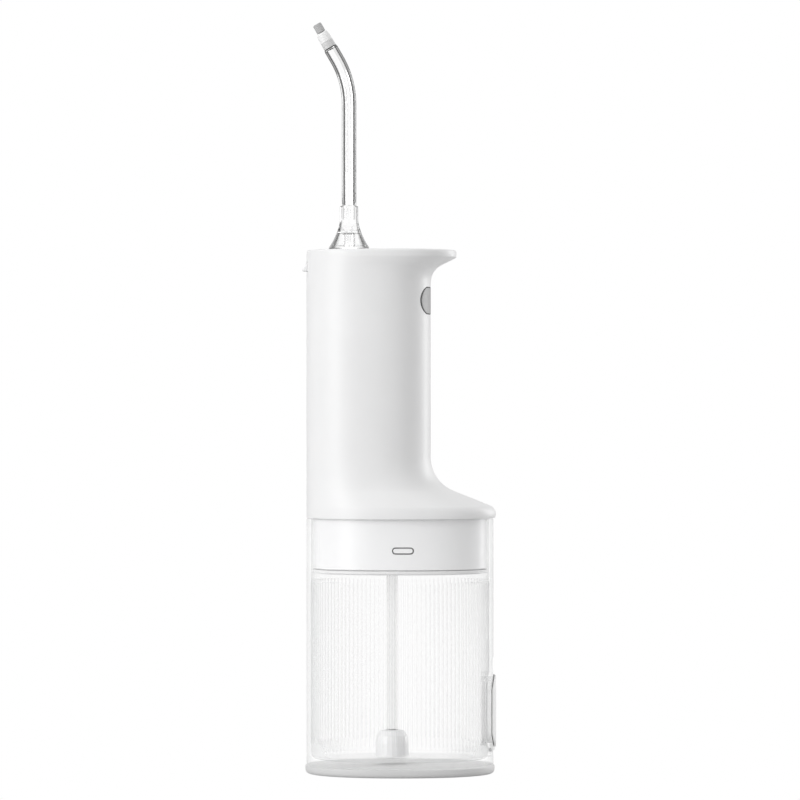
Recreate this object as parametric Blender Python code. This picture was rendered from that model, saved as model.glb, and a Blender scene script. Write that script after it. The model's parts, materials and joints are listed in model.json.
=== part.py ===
"""A cordless water flosser: a clear water tank, a lift-off handle with pump and battery, and a bent nozzle.

Lengths are in millimetres up to add_mesh() and place(), which turn them into the scene's metres.
+X is the front, with the power button; -X is the back, with the charging port; +Z is up.
The origin is the middle of the underside.
"""

import math

import bmesh
import bpy
from mathutils import Matrix, Vector

MM = 0.001
GAP = 0.3  # clearance between neighbours that nearly touch
SEGMENTS = 40  # points round each large oval
ROUND = 20  # points round each small circle

# Plan shapes: ovals of the superellipse family
PLAN_POWER = 2.2
BACK_X = -35.8
TANK_HALF_X, TANK_HALF_Y = 35.8, 27.0
COLUMN_FRONT_X, COLUMN_HALF_Y = 11.8, 22.0
SKIRT_FRONT_X, SKIRT_HALF_Y = 36.75, 27.4
BEAK_FRONT_X, BEAK_HALF_Y = 21.6, 23.5

# Heights
BASE_TOP = 3.2
TANK_BOTTOM = BASE_TOP + GAP
FLOOR_TOP = 5.6
SEAM = 97.7
TANK_TOP = SEAM - GAP
HANDLE_TOP = 200.0

# Handle outline at the front: edge round, slope, fillet, column, beak
EDGE_RADIUS, EDGE_HEIGHT = 3.45, 99.1
SLOPE = math.atan(0.4)
FILLET_RADIUS = 14.0
FILLET_TOP = 120.9
BEAK_RADIUS, BEAK_START = 7.6, 187.6
BEAK_SLOPE = math.atan(0.5)
RIM_BOTTOM, RIM_ROUND = 197.1, 0.9

TANK_WALL = 1.8
SHELL_WALL = 1.8
ROOF_THICKNESS = 2.4
COVER_DEPTH, COVER_THICKNESS = 1.3, 1.0

# Pump housing, the white collar inside the top of the tank
HOUSING_HALF_X, HOUSING_HALF_Y = 33.4, 24.6
HOUSING_BOTTOM, HOUSING_STEP, HOUSING_FLOOR, HOUSING_TOP = 76.4, 78.3, 79.8, 99.0
HOUSING_WALL = 1.6
SEAL_INSET = 1.8
SEAL_BOTTOM, SEAL_TOP = 76.8, 78.0

# Fill port at the front of the tank, and its hinged plug
PORT_Z, PORT_WIDTH, PORT_HEIGHT = 23.7, 11.0, 27.4
PLUG_WIDTH, PLUG_HEIGHT = 8.8, 24.4
PLATE_BACK_X, PLATE_FRONT_X, NECK_BACK_X = 34.5, 36.7, 31.0
PORT_PIN_X, PORT_PIN_Z, KNUCKLE_RADIUS, KNUCKLE_HALF_Y = 34.5, 8.9, 1.0, 2.4

# Scoop above the port, where a fingertip opens the plug
SCOOP_Z, SCOOP_RADIUS, SCOOP_DEPTH, SCOOP_HALF_Y = 41.3, 8.0, 0.8, 4.5

# Vent insert on the side of the pump housing
VENT_X, VENT_Z, VENT_WIDTH, VENT_HEIGHT, VENT_GAP = 1.1, 85.7, 7.4, 1.8, 0.4

# Power button, release button and charging port cover
BUTTON_Z, BUTTON_WIDTH, BUTTON_HEIGHT, BUTTON_BACK_X = 180.6, 26.2, 9.8, 6.9
RELEASE_BOTTOM, RELEASE_TOP, RELEASE_OUT, RELEASE_WIDTH, LATCH_Z = 192.0, 195.1, -37.3, 10.0, 193.4
COVER_Z, COVER_WIDTH, COVER_HEIGHT, COVER_INNER_X = 124.3, 12.0, 12.3, -34.6
LENS_Z, LENS_WIDTH, LENS_HEIGHT = 166.0, 2.4, 7.0

# Nozzle
NOZZLE_X = -19.5
TUBE_RADIUS, SLEEVE_RADIUS, BORE_RADIUS = 2.75, 3.5, 1.1
SLEEVE_TOP, BEND_START, BEND_RADIUS, BEND_ANGLE = 217.0, 255.9, 34.5, math.radians(30)
STRAIGHT_END, TIP_COLLAR_LENGTH, TIP_LENGTH = 4.8, 6.9, 3.8
STEM_RADIUS, STEM_BOTTOM = 2.3, 185.0
FLARE_BOTTOM = 200.5

# Pump train: motor, pinion, crank gear, piston; every axis lies at this height
DRIVE_Z = 94.0
MOTOR_X, MOTOR_RADIUS, MOTOR_BACK_Y, MOTOR_FRONT_Y = 16.2, 8.0, -15.0, 7.0
GEAR_X, GEAR_BACK_Y, GEAR_FRONT_Y = 0.9, 8.6, 12.4
MODULE, PINION_TEETH, GEAR_TEETH = 0.6, 10, 40
CRANK_THROW, CRANK_PIN_RADIUS, AXLE_HOLE = 3.5, 1.1, 1.5
PISTON_Y, PISTON_RADIUS, PISTON_FACE_X = 2.8, 3.1, -16.0
YOKE_HALF_X, YOKE_HALF_Y, YOKE_HALF_Z = 3.0, 1.5, 7.2
CYLINDER_BORE, CYLINDER_RADIUS, CYLINDER_OPEN_X, CYLINDER_END_X = 3.6, 5.2, -7.0, -28.0
INLET_X, OUTLET_X, NIPPLE_RADIUS = -21.5, -24.0, 1.4

# Suction line
FILTER_X, FILTER_RADIUS, FILTER_BOTTOM, FILTER_TOP = -3.0, 6.3, 6.4, 16.5
SUCTION_RADIUS, SUCTION_BORE = 2.2, 1.4
HOSE_RADIUS, HOSE_BORE = 2.4, 1.7

# Battery and chassis
BATTERY_X, BATTERY_RADIUS, BATTERY_BOTTOM, BATTERY_TOP = -1.0, 9.0, 123.0, 173.0
WEB_BACK_X, WEB_FRONT_X, WEB_TOP = -13.2, -11.4, 177.0
PLATE_BOTTOM, PLATE_TOP = 104.0, 106.0
POSTS = [(-22.0, -11.0), (-22.0, 12.0), (4.5, -13.0), (-6.0, 17.0)]
POST_RADIUS, SCREW_RADIUS, SCREW_HOLE, SCREW_HEAD, COUNTERBORE = 2.6, 1.1, 1.5, 2.2, 2.6

# Turns a mesh built along +Z so that it runs along the named world axis
ALONG = {
    "X": Matrix.Rotation(math.radians(90), 4, "Y"),
    "Y": Matrix.Rotation(math.radians(-90), 4, "X"),
    "Z": Matrix.Identity(4),
}


# ---- materials -------------------------------------------------------------------------------


def finish(name, colour, roughness, metallic=0.0, transmission=0.0):
    material = bpy.data.materials.new(name)
    material.use_nodes = True
    shader = material.node_tree.nodes["Principled BSDF"]
    shader.inputs["Base Color"].default_value = (*colour, 1.0)
    shader.inputs["Roughness"].default_value = roughness
    shader.inputs["Metallic"].default_value = metallic
    shader.inputs["Transmission Weight"].default_value = transmission
    return material


FINISHES = {
    "white_shell": ((0.86, 0.86, 0.86), 0.45, 0.0, 0.0),
    "white_trim": ((0.82, 0.82, 0.82), 0.4, 0.0, 0.0),
    "frosted_tank": ((0.92, 0.95, 0.95), 0.35, 0.0, 0.7),
    "grey_plastic": ((0.5, 0.5, 0.5), 0.5, 0.0, 0.0),
    "clear_nozzle": ((0.95, 0.97, 0.97), 0.05, 0.0, 0.9),
    "white_silicone": ((0.84, 0.84, 0.84), 0.6, 0.0, 0.0),
    "rubber_seal": ((0.35, 0.35, 0.36), 0.8, 0.0, 0.0),
    "steel": ((0.6, 0.6, 0.61), 0.3, 1.0, 0.0),
    "gear_nylon": ((0.8, 0.78, 0.7), 0.5, 0.0, 0.0),
    "battery_wrap": ((0.1, 0.25, 0.4), 0.4, 0.0, 0.0),
    "circuit_board": ((0.02, 0.2, 0.08), 0.5, 0.0, 0.0),
    "hose_silicone": ((0.8, 0.8, 0.78), 0.5, 0.0, 0.3),
}


# ---- mesh tools ------------------------------------------------------------------------------


def add_mesh(name, material, rings, loop=False, helper=False):
    """A closed solid skinned over a run of rings: capped at both ends, or with loop closed on itself."""
    mesh = bpy.data.meshes.new(name)
    work = bmesh.new()
    rows = [[work.verts.new(Vector(point) * MM) for point in ring] for ring in rings]
    count = len(rows[0])
    pairs = list(zip(rows, rows[1:]))
    if loop:
        pairs.append((rows[-1], rows[0]))
    else:
        work.faces.new(rows[0])
        work.faces.new(rows[-1])
    for lower, upper in pairs:
        for i in range(count):
            j = (i + 1) % count
            work.faces.new((lower[i], lower[j], upper[j], upper[i]))
    bmesh.ops.recalc_face_normals(work, faces=work.faces)
    work.to_mesh(mesh)
    work.free()
    obj = bpy.data.objects.new(name, mesh)
    bpy.context.scene.collection.objects.link(obj)
    if helper:
        obj.hide_render = True
        obj.display_type = "WIRE"
        return obj
    mesh.shade_smooth()
    mesh.set_sharp_from_angle(angle=math.radians(35))
    mesh.materials.append(material)
    return obj


def steps(first, last, count):
    """Evenly spaced values from first to last, both included."""
    return [first + (last - first) * i / count for i in range(count + 1)]


def full_turn(count):
    """Evenly spaced angles round a full circle."""
    return steps(0.0, 2 * math.pi, count)[:-1]


def place(obj, location, axis="Z"):
    obj.matrix_world = Matrix.Translation(Vector(location) * MM) @ ALONG[axis]
    return obj


def oval(front, back, half_width, z, count=SEGMENTS):
    """A level superellipse ring between the front and back X."""
    middle = (front + back) / 2
    reach = (front - back) / 2
    ring = []
    for turn in full_turn(count):
        c = math.cos(turn)
        s = math.sin(turn)
        x = middle + reach * math.copysign(abs(c) ** (2 / PLAN_POWER), c)
        y = half_width * math.copysign(abs(s) ** (2 / PLAN_POWER), s)
        ring.append((x, y, z))
    return ring


def tank_oval(inset, z):
    return oval(TANK_HALF_X - inset, -TANK_HALF_X + inset, TANK_HALF_Y - inset, z)


def housing_oval(inset, z):
    return oval(HOUSING_HALF_X - inset, -HOUSING_HALF_X + inset, HOUSING_HALF_Y - inset, z)


def circle(radius, z, count=ROUND):
    return [(radius * math.cos(t), radius * math.sin(t), z) for t in full_turn(count)]


def pill(width, height, u=0.0, v=0.0, arc_points=8):
    """A flat outline round (u, v): a rectangle whose shorter sides are half circles."""
    radius = min(width, height) / 2
    du = width / 2 - radius
    dv = height / 2 - radius
    start = 0.0 if height > width else -math.pi / 2
    outline = []
    for end in (0, 1):
        away = 1 - 2 * end
        first = start + math.pi * end
        for turn in steps(first, first + math.pi, arc_points):
            outline.append((u + away * du + radius * math.cos(turn), v + away * dv + radius * math.sin(turn)))
    return outline


def lifted(outline, axis, level):
    """A flat outline moved into space, square to the named axis."""
    if axis == "X":
        return [(level, u, v) for u, v in outline]
    if axis == "Y":
        return [(u, level, v) for u, v in outline]
    return [(u, v, level) for u, v in outline]


def with_origin(obj, origin):
    """Moves an object's origin and leaves its shape where it is."""
    obj.data.transform(Matrix.Translation(Vector(origin) * -MM))
    obj.location = Vector(origin) * MM
    return obj


def extrude(name, material, outline, axis, low, high, helper=False):
    return add_mesh(name, material, [lifted(outline, axis, low), lifted(outline, axis, high)], helper=helper)


def extrude_ring(name, material, outer, inner, axis, low, high):
    skin = [lifted(outer, axis, low), lifted(outer, axis, high)]
    lining = [lifted(inner, axis, high), lifted(inner, axis, low)]
    return add_mesh(name, material, skin + lining, loop=True)


def turned(name, material, profile, location, axis="Z", loop=False, count=ROUND, helper=False):
    """A solid of revolution from (radius, height) pairs along the named axis."""
    rings = [circle(radius, height, count) for radius, height in profile]
    return place(add_mesh(name, material, rings, loop, helper), location, axis)


def box(name, material, low, high, helper=False):
    corners = [(low[0], low[1]), (high[0], low[1]), (high[0], high[1]), (low[0], high[1])]
    return extrude(name, material, corners, "Z", low[2], high[2], helper)


def boolean(obj, other, operation):
    modifier = obj.modifiers.new(operation.lower(), "BOOLEAN")
    modifier.operation = operation
    modifier.object = other
    return obj


def cut(obj, cutter):
    return boolean(obj, cutter, "DIFFERENCE")


def join(obj, other):
    return boolean(obj, other, "UNION")


def rod(name, material, radius, start, length, axis="Z", count=ROUND, helper=False):
    """A plain cylinder that runs from its start along the named axis."""
    return turned(name, material, [(radius, 0.0), (radius, length)], start, axis, count=count, helper=helper)


def cut_rod(obj, name, radius, start, length, axis="Z", count=ROUND):
    return cut(obj, rod(name, None, radius, start, length, axis, count, helper=True))


def join_rod(obj, name, radius, start, length, axis="Z", count=ROUND):
    return join(obj, rod(name, None, radius, start, length, axis, count, helper=True))


def cut_outline(obj, name, outline, axis, low, high):
    return cut(obj, extrude(name, None, outline, axis, low, high, helper=True))


def join_outline(obj, name, outline, axis, low, high):
    return join(obj, extrude(name, None, outline, axis, low, high, helper=True))


def cut_box(obj, name, low, high):
    return cut(obj, box(name, None, low, high, helper=True))


def join_box(obj, name, low, high):
    return join(obj, box(name, None, low, high, helper=True))


def curve_point(a, b, c, d, t):
    """The point at share t of the way from b to c on a Catmull-Rom curve through four points."""
    linear = (c - a) * t
    square = (2 * a - 5 * b + 4 * c - d) * t**2
    cubic = (3 * b - a - 3 * c + d) * t**3
    return 0.5 * (2 * b + linear + square + cubic)


def smooth_path(points, pieces=3):
    """Points along a smooth curve through the given points."""
    corners = [Vector(point) for point in (points[0], *points, points[-1])]
    path = []
    for around in zip(corners, corners[1:], corners[2:], corners[3:]):
        path += [curve_point(*around, t) for t in steps(0.0, 1.0, pieces)[:-1]]
    path.append(corners[-1])
    return path


def sweep_rings(path, radii, count=12):
    """Circles square to a path, without twist."""
    rings = []
    side = Vector((0, 1, 0))
    last = len(path) - 1
    for i, point in enumerate(path):
        ahead = path[min(i + 1, last)] - path[max(i - 1, 0)]
        ahead.normalize()
        side = (side - ahead * side.dot(ahead)).normalized()
        other = ahead.cross(side)
        around = [side * math.cos(turn) + other * math.sin(turn) for turn in full_turn(count)]
        rings.append([point + radii[i] * outward for outward in around])
    return rings


def pipe(name, material, path, outer, inner, count=8):
    """A tube along a path; outer and inner are radii, one for each point or one for all."""
    if isinstance(outer, float):
        outer = [outer] * len(path)
    if isinstance(inner, float):
        inner = [inner] * len(path)
    skin = sweep_rings(path, outer, count)
    lining = sweep_rings(path, inner, count)
    return add_mesh(name, material, skin + lining[::-1], loop=True)


# ---- handle outline --------------------------------------------------------------------------

EDGE_TOP = EDGE_HEIGHT + EDGE_RADIUS * math.cos(SLOPE)
EDGE_TOP_X = SKIRT_FRONT_X - EDGE_RADIUS + EDGE_RADIUS * math.sin(SLOPE)
FILLET_BOTTOM = FILLET_TOP - FILLET_RADIUS * math.cos(SLOPE)
BEAK_TURN = math.pi / 2 - BEAK_SLOPE
BEAK_ARC_TOP = BEAK_START + BEAK_RADIUS * math.sin(BEAK_TURN)
BEAK_ARC_X = COLUMN_FRONT_X + BEAK_RADIUS * (1 - math.cos(BEAK_TURN))


def front_x(z):
    """How far forward the handle reaches at a height: round edge, slope, fillet, column, beak."""
    if z < EDGE_TOP:
        drop = min(abs(z - EDGE_HEIGHT), EDGE_RADIUS)
        return SKIRT_FRONT_X - EDGE_RADIUS + math.sqrt(EDGE_RADIUS**2 - drop**2)
    if z < FILLET_BOTTOM:
        return EDGE_TOP_X - (z - EDGE_TOP) / math.tan(SLOPE)
    if z < FILLET_TOP:
        return COLUMN_FRONT_X + FILLET_RADIUS - math.sqrt(FILLET_RADIUS**2 - (FILLET_TOP - z) ** 2)
    if z < BEAK_START:
        return COLUMN_FRONT_X
    if z < BEAK_ARC_TOP:
        return COLUMN_FRONT_X + BEAK_RADIUS - math.sqrt(BEAK_RADIUS**2 - (z - BEAK_START) ** 2)
    return min(BEAK_ARC_X + (z - BEAK_ARC_TOP) / math.tan(BEAK_SLOPE), BEAK_FRONT_X)


def half_y(z):
    """Half the handle's width at a height. It flares together with the front."""
    low_part = z < (FILLET_TOP + BEAK_START) / 2
    widest_x = SKIRT_FRONT_X if low_part else BEAK_FRONT_X
    widest_y = SKIRT_HALF_Y if low_part else BEAK_HALF_Y
    share = (front_x(z) - COLUMN_FRONT_X) / (widest_x - COLUMN_FRONT_X)
    return COLUMN_HALF_Y + share * (widest_y - COLUMN_HALF_Y)


def outer_ring(z, inset=0.0):
    return oval(front_x(z) - inset, BACK_X + inset, half_y(z) - inset, z)


def inner_ring(z):
    """The cavity's ring: one wall inside the narrowest outline within a wall's thickness above or below."""
    near = (max(z - SHELL_WALL, SEAM), z, z + SHELL_WALL)
    front = min(front_x(h) for h in near) - SHELL_WALL
    width = min(half_y(h) for h in near) - SHELL_WALL
    return oval(front, BACK_X + SHELL_WALL, width, z)


def moved_to(ring, z):
    """The same ring at another height."""
    return [(x, y, z) for x, y, _ in ring]


def handle_heights():
    lowest = math.asin((SEAM - EDGE_HEIGHT) / EDGE_RADIUS)
    edge = [EDGE_HEIGHT + EDGE_RADIUS * math.sin(t) for t in steps(lowest, math.pi / 2 - SLOPE, 5)]
    fillet = [FILLET_TOP - FILLET_RADIUS * math.sin(t) for t in steps(math.pi / 2 - SLOPE, 0, 6)]
    beak = [BEAK_START + BEAK_RADIUS * math.sin(t) for t in steps(0, BEAK_TURN, 5)]
    return edge + fillet + beak + [RIM_BOTTOM, HANDLE_TOP - RIM_ROUND]


def handle_rings():
    """The whole outside of the handle, from the seam to the rounded rim."""
    rings = [outer_ring(z) for z in handle_heights()]
    for turn in steps(math.pi / 6, math.pi / 2, 2):
        rim = outer_ring(HANDLE_TOP, RIM_ROUND * (1 - math.cos(turn)))
        rings.append(moved_to(rim, HANDLE_TOP - RIM_ROUND * (1 - math.sin(turn))))
    return rings


def handle_piece(name, material, outline, low_x, high_x):
    """The part of the full handle that lies within an outline, between two X."""
    piece = add_mesh(name, material, handle_rings())
    reach = extrude(f"{name}_reach", None, outline, "X", low_x, high_x, helper=True)
    return boolean(piece, reach, "INTERSECT")


# ---- tank ------------------------------------------------------------------------------------


def port_outline(margin):
    return pill(PORT_WIDTH + 2 * margin, PORT_HEIGHT + 2 * margin, 0.0, PORT_Z)


def build_tank(look):
    rings = [
        tank_oval(TANK_WALL + 1.2, FLOOR_TOP),
        tank_oval(TANK_WALL, FLOOR_TOP + 1.2),
        tank_oval(TANK_WALL, TANK_TOP),
        tank_oval(0.0, TANK_TOP),
        tank_oval(0.0, TANK_BOTTOM),
    ]
    shell = add_mesh("tank_shell", look["frosted_tank"], rings)
    join_outline(shell, "neck", port_outline(1.4), "X", NECK_BACK_X, PLATE_BACK_X)
    join_box(shell, "hinge_pad", (31.6, -4.8, FLOOR_TOP - GAP), (34.4, 4.8, 12.0))
    outside = TANK_HALF_X + 2
    cut_outline(shell, "recess", port_outline(GAP), "X", PLATE_BACK_X - GAP, outside)
    cut_outline(shell, "port", port_outline(-0.5), "X", NECK_BACK_X - 1, outside)
    cut_box(shell, "hinge_gap", (33.2, -3.0, 6.4), (outside, 3.0, 12.0))
    pin_hole_end = 4.3
    cut_rod(shell, "pin_hole", 0.7, (PORT_PIN_X, -pin_hole_end, PORT_PIN_Z), 2 * pin_hole_end, "Y")
    scoop_x = TANK_HALF_X + SCOOP_RADIUS - SCOOP_DEPTH
    cut_rod(shell, "scoop", SCOOP_RADIUS, (scoop_x, -SCOOP_HALF_Y, SCOOP_Z), 2 * SCOOP_HALF_Y, "Y", count=40)
    pin_end = pin_hole_end - GAP
    rod("fill_cap_pin", look["steel"], 0.45, (PORT_PIN_X, -pin_end, PORT_PIN_Z), 2 * pin_end, "Y", count=10)


def foot_rings(outer_inset, inner_inset, low, high):
    """The section of a flat ring under the tank, as four ovals."""
    return [
        tank_oval(outer_inset, low),
        tank_oval(outer_inset, high),
        tank_oval(inner_inset, high),
        tank_oval(inner_inset, low),
    ]


def build_base(look):
    rings = [
        tank_oval(1.2, 0.0),
        tank_oval(0.2, 0.4),
        tank_oval(-0.4, 1.5),
        tank_oval(-0.4, BASE_TOP - 0.3),
        tank_oval(-0.1, BASE_TOP),
    ]
    base = add_mesh("base_cap", look["grey_plastic"], rings)
    groove = foot_rings(6.0, 9.0, -1.0, 1.0)
    cut(base, add_mesh("foot_groove", None, groove, loop=True, helper=True))
    add_mesh("foot_ring", look["rubber_seal"], foot_rings(6.0 + GAP, 9.0 - GAP, 0.0, 1.0 - GAP), loop=True)


def build_fill_cap(look):
    """The hinged plug: a pill-shaped plate, a grooved plug behind it and a knuckle round the pin."""
    pin = (PORT_PIN_X, 0.0, PORT_PIN_Z)
    plate = [
        lifted(port_outline(0.0), "X", PLATE_BACK_X),
        lifted(port_outline(0.0), "X", PLATE_FRONT_X - 0.5),
        lifted(port_outline(-0.6), "X", PLATE_FRONT_X),
    ]
    cap = with_origin(add_mesh("fill_cap", look["white_silicone"], plate), pin)
    flange = pill(PLUG_WIDTH, PLUG_HEIGHT, 0.0, PORT_Z)
    core = pill(PLUG_WIDTH - 2.4, PLUG_HEIGHT - 2.4, 0.0, PORT_Z)
    overlap = PLATE_BACK_X + 0.4
    join_outline(cap, "plug_core", core, "X", 31.6, overlap)
    join_outline(cap, "plug_flange", flange, "X", 33.4, overlap)
    join_outline(cap, "plug_nose", flange, "X", 31.4, 32.2)
    join_box(cap, "strap", (34.4, -KNUCKLE_HALF_Y, PORT_PIN_Z), (35.6, KNUCKLE_HALF_Y, 11.8))
    knuckle_start = (PORT_PIN_X, -KNUCKLE_HALF_Y, PORT_PIN_Z)
    join_rod(cap, "knuckle", KNUCKLE_RADIUS, knuckle_start, 2 * KNUCKLE_HALF_Y, "Y")
    cut_rod(cap, "knuckle_bore", 0.65, (PORT_PIN_X, -4.0, PORT_PIN_Z), 8.0, "Y")
    outer = pill(PLUG_WIDTH + 0.7, PLUG_HEIGHT + 1.0, 0.0, PORT_Z)
    inner = pill(PLUG_WIDTH - 2.0, PLUG_HEIGHT - 2.0, 0.0, PORT_Z)
    with_origin(extrude_ring("fill_cap_seal", look["white_silicone"], outer, inner, "X", 32.4, 33.2), pin)


# ---- pump housing and chassis ----------------------------------------------------------------


def build_housing(look):
    rings = [
        housing_oval(HOUSING_WALL + 1.0, HOUSING_FLOOR),
        housing_oval(HOUSING_WALL, HOUSING_FLOOR + 1.0),
        housing_oval(HOUSING_WALL, HOUSING_TOP),
        housing_oval(0.0, HOUSING_TOP),
        housing_oval(0.0, HOUSING_STEP),
        housing_oval(SEAL_INSET, HOUSING_STEP),
        housing_oval(SEAL_INSET, HOUSING_BOTTOM),
    ]
    housing = add_mesh("pump_housing", look["white_trim"], rings)
    below = HOUSING_BOTTOM - 1
    through = HOUSING_FLOOR + 1 - below
    cut_rod(housing, "suction_hole", SUCTION_RADIUS + 0.8, (FILTER_X, 0.0, below), through)
    screw = [
        (1.6, 76.8),
        (SCREW_HEAD, 77.2),
        (SCREW_HEAD, 78.1),
        (SCREW_RADIUS, 78.1),
        (SCREW_RADIUS, 88.0),
    ]
    for number, (x, y) in enumerate(POSTS, start=1):
        cut_rod(housing, f"screw_hole_{number}", SCREW_HOLE, (x, y, below), through, count=12)
        cut_rod(housing, f"counterbore_{number}", COUNTERBORE, (x, y, below), 3.0)
        turned(f"housing_screw_{number}", look["steel"], screw, (x, y, 0.0), count=12)
    face = -HOUSING_HALF_Y
    pocket = pill(VENT_WIDTH + 2 * VENT_GAP, VENT_HEIGHT + 2 * VENT_GAP, VENT_X, VENT_Z)
    cut_outline(housing, "vent_pocket", pocket, "Y", face - 1, face + 0.9)
    vent = pill(VENT_WIDTH, VENT_HEIGHT, VENT_X, VENT_Z)
    extrude("vent_insert", look["white_trim"], vent, "Y", face, face + 0.6)
    seal = [
        housing_oval(SEAL_INSET - GAP, SEAL_BOTTOM),
        housing_oval(-0.25, SEAL_BOTTOM),
        housing_oval(-0.25, SEAL_TOP),
        housing_oval(SEAL_INSET - GAP, SEAL_TOP),
    ]
    add_mesh("tank_seal", look["white_silicone"], seal, loop=True)


def build_frame(look):
    """The chassis: a web with two shelves for the battery, a foot plate and four screw posts."""
    shelf_low = BATTERY_BOTTOM - 1.0
    shelf_high = BATTERY_TOP + 1.4
    outline = [
        (WEB_BACK_X, PLATE_TOP - 1),
        (WEB_FRONT_X, PLATE_TOP - 1),
        (WEB_FRONT_X, shelf_low - 1.8),
        (7.0, shelf_low - 1.8),
        (7.0, shelf_low),
        (WEB_FRONT_X, shelf_low),
        (WEB_FRONT_X, shelf_high),
        (2.4, shelf_high),
        (2.4, shelf_high + 1.2),
        (WEB_FRONT_X, shelf_high + 1.2),
        (WEB_FRONT_X, WEB_TOP),
        (WEB_BACK_X, WEB_TOP),
    ]
    frame = extrude("inner_frame", look["gear_nylon"], outline, "Y", -9.0, 9.0)
    plate = [(x * 0.96 - 0.3, y * 0.96, z) for x, y, z in inner_ring(PLATE_TOP)]
    join(frame, add_mesh("foot_plate", None, [moved_to(plate, PLATE_BOTTOM), plate], helper=True))
    post_bottom = HOUSING_FLOOR + GAP
    post_height = PLATE_BOTTOM + 1 - post_bottom
    for number, (x, y) in enumerate(POSTS, start=1):
        join_rod(frame, f"post_{number}", POST_RADIUS, (x, y, post_bottom), post_height, count=16)
        cut_rod(frame, f"post_bore_{number}", SCREW_HOLE, (x, y, HOUSING_FLOOR), 9.2, count=12)
    cut_rod(frame, "hose_hole", HOSE_RADIUS + 1, (OUTLET_X + 0.3, 2.6, 102.0), 6.0)
    cut_box(frame, "gear_slot", (-8.5, 7.6, 103.0), (10.5, 13.4, 108.0))


def build_power(look):
    """Battery, its tabs, the two circuit boards and what is soldered to them."""
    profile = [
        (BATTERY_RADIUS - 0.6, BATTERY_BOTTOM),
        (BATTERY_RADIUS, BATTERY_BOTTOM + 0.6),
        (BATTERY_RADIUS, BATTERY_TOP - 1.4),
        (BATTERY_RADIUS - 0.6, BATTERY_TOP - 0.8),
        (3.0, BATTERY_TOP - 0.8),
        (3.0, BATTERY_TOP),
    ]
    turned("battery_cell", look["battery_wrap"], profile, (BATTERY_X, 0.0, 0.0), count=24)
    tab = pill(13.0, 5.0, BATTERY_X, 0.0, arc_points=5)
    extrude("battery_tab_top", look["steel"], tab, "Z", BATTERY_TOP + GAP, BATTERY_TOP + GAP + 0.4)
    extrude("battery_tab_bottom", look["steel"], tab, "Z", BATTERY_BOTTOM - GAP - 0.4, BATTERY_BOTTOM - GAP)
    box("control_board", look["circuit_board"], (0.4, -9.0, 176.2), (2.0, 9.0, 194.0))
    box("tact_switch", look["steel"], (2.3, -3.0, BUTTON_Z - 3), (4.9, 3.0, BUTTON_Z + 3))
    box("charge_board", look["circuit_board"], (-27.6, -8.0, 116.0), (-26.0, 8.0, 133.0))
    outer = pill(9.0, 3.2, 0.0, COVER_Z)
    inner = pill(8.3, 2.5, 0.0, COVER_Z)
    cup = [
        lifted(inner, "X", -29.0),
        lifted(inner, "X", -34.2),
        lifted(outer, "X", -34.2),
        lifted(outer, "X", -28.0),
    ]
    add_mesh("charge_socket", look["steel"], cup)


# ---- pump train ------------------------------------------------------------------------------


def gear_outline(teeth, phase, x):
    """A gear's outline in the X-Z plane round its axle, with four points to a tooth."""
    pitch = MODULE * teeth / 2
    tip = pitch + 0.75 * MODULE
    root = pitch - 1.25 * MODULE
    step = 2 * math.pi / teeth
    outline = []
    for tooth in range(teeth):
        middle = phase + tooth * step
        for radius, share in ((root, -0.29), (tip, -0.11), (tip, 0.11), (root, 0.29)):
            turn = middle + share * step
            outline.append((x + radius * math.cos(turn), DRIVE_Z + radius * math.sin(turn)))
    return outline


def build_gear(name, material, teeth, phase, x):
    """A gear with its origin on its own axle."""
    gear = extrude(name, material, gear_outline(teeth, phase, x), "Y", GEAR_BACK_Y, GEAR_FRONT_Y)
    return with_origin(gear, (x, 0.0, DRIVE_Z))


def build_drive(look):
    motor = [
        (2.5, MOTOR_BACK_Y - 1.2),
        (2.5, MOTOR_BACK_Y),
        (MOTOR_RADIUS - 0.7, MOTOR_BACK_Y),
        (MOTOR_RADIUS, MOTOR_BACK_Y + 0.7),
        (MOTOR_RADIUS, MOTOR_FRONT_Y - 0.7),
        (MOTOR_RADIUS - 0.7, MOTOR_FRONT_Y),
    ]
    turned("pump_motor", look["steel"], motor, (MOTOR_X, 0.0, DRIVE_Z), "Y", count=28)
    shaft_start = (MOTOR_X, MOTOR_FRONT_Y + GAP, DRIVE_Z)
    rod("motor_shaft", look["steel"], 0.9, shaft_start, 6.1, "Y", count=12)
    half_tooth = math.pi / PINION_TEETH
    pinion = build_gear("motor_pinion", look["gear_nylon"], PINION_TEETH, half_tooth, MOTOR_X)
    cut_rod(pinion, "pinion_bore", 1.2, (MOTOR_X, 8.0, DRIVE_Z), 6.0, "Y", count=12)

    gear = build_gear("crank_gear", look["gear_nylon"], GEAR_TEETH, 0.0, GEAR_X)
    pin_y = PISTON_Y + YOKE_HALF_Y + GAP
    pin_start = (GEAR_X, pin_y, DRIVE_Z + CRANK_THROW)
    join_rod(gear, "crank_pin", CRANK_PIN_RADIUS, pin_start, GEAR_BACK_Y + 1 - pin_y, "Y", count=16)
    cut_rod(gear, "gear_bore", AXLE_HOLE, (GEAR_X, 7.0, DRIVE_Z), 7.0, "Y", count=16)
    rod("gear_axle", look["steel"], 1.2, (GEAR_X, 8.9, DRIVE_Z), 7.4, "Y", count=16)
    low = (GEAR_X - 4, 14.6, HOUSING_FLOOR + GAP)
    plate = box("axle_plate", look["steel"], low, (GEAR_X + 4, 16.0, 98.0))
    cut_rod(plate, "axle_hole", AXLE_HOLE, (GEAR_X, 14.0, DRIVE_Z), 3.0, "Y", count=16)


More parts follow.
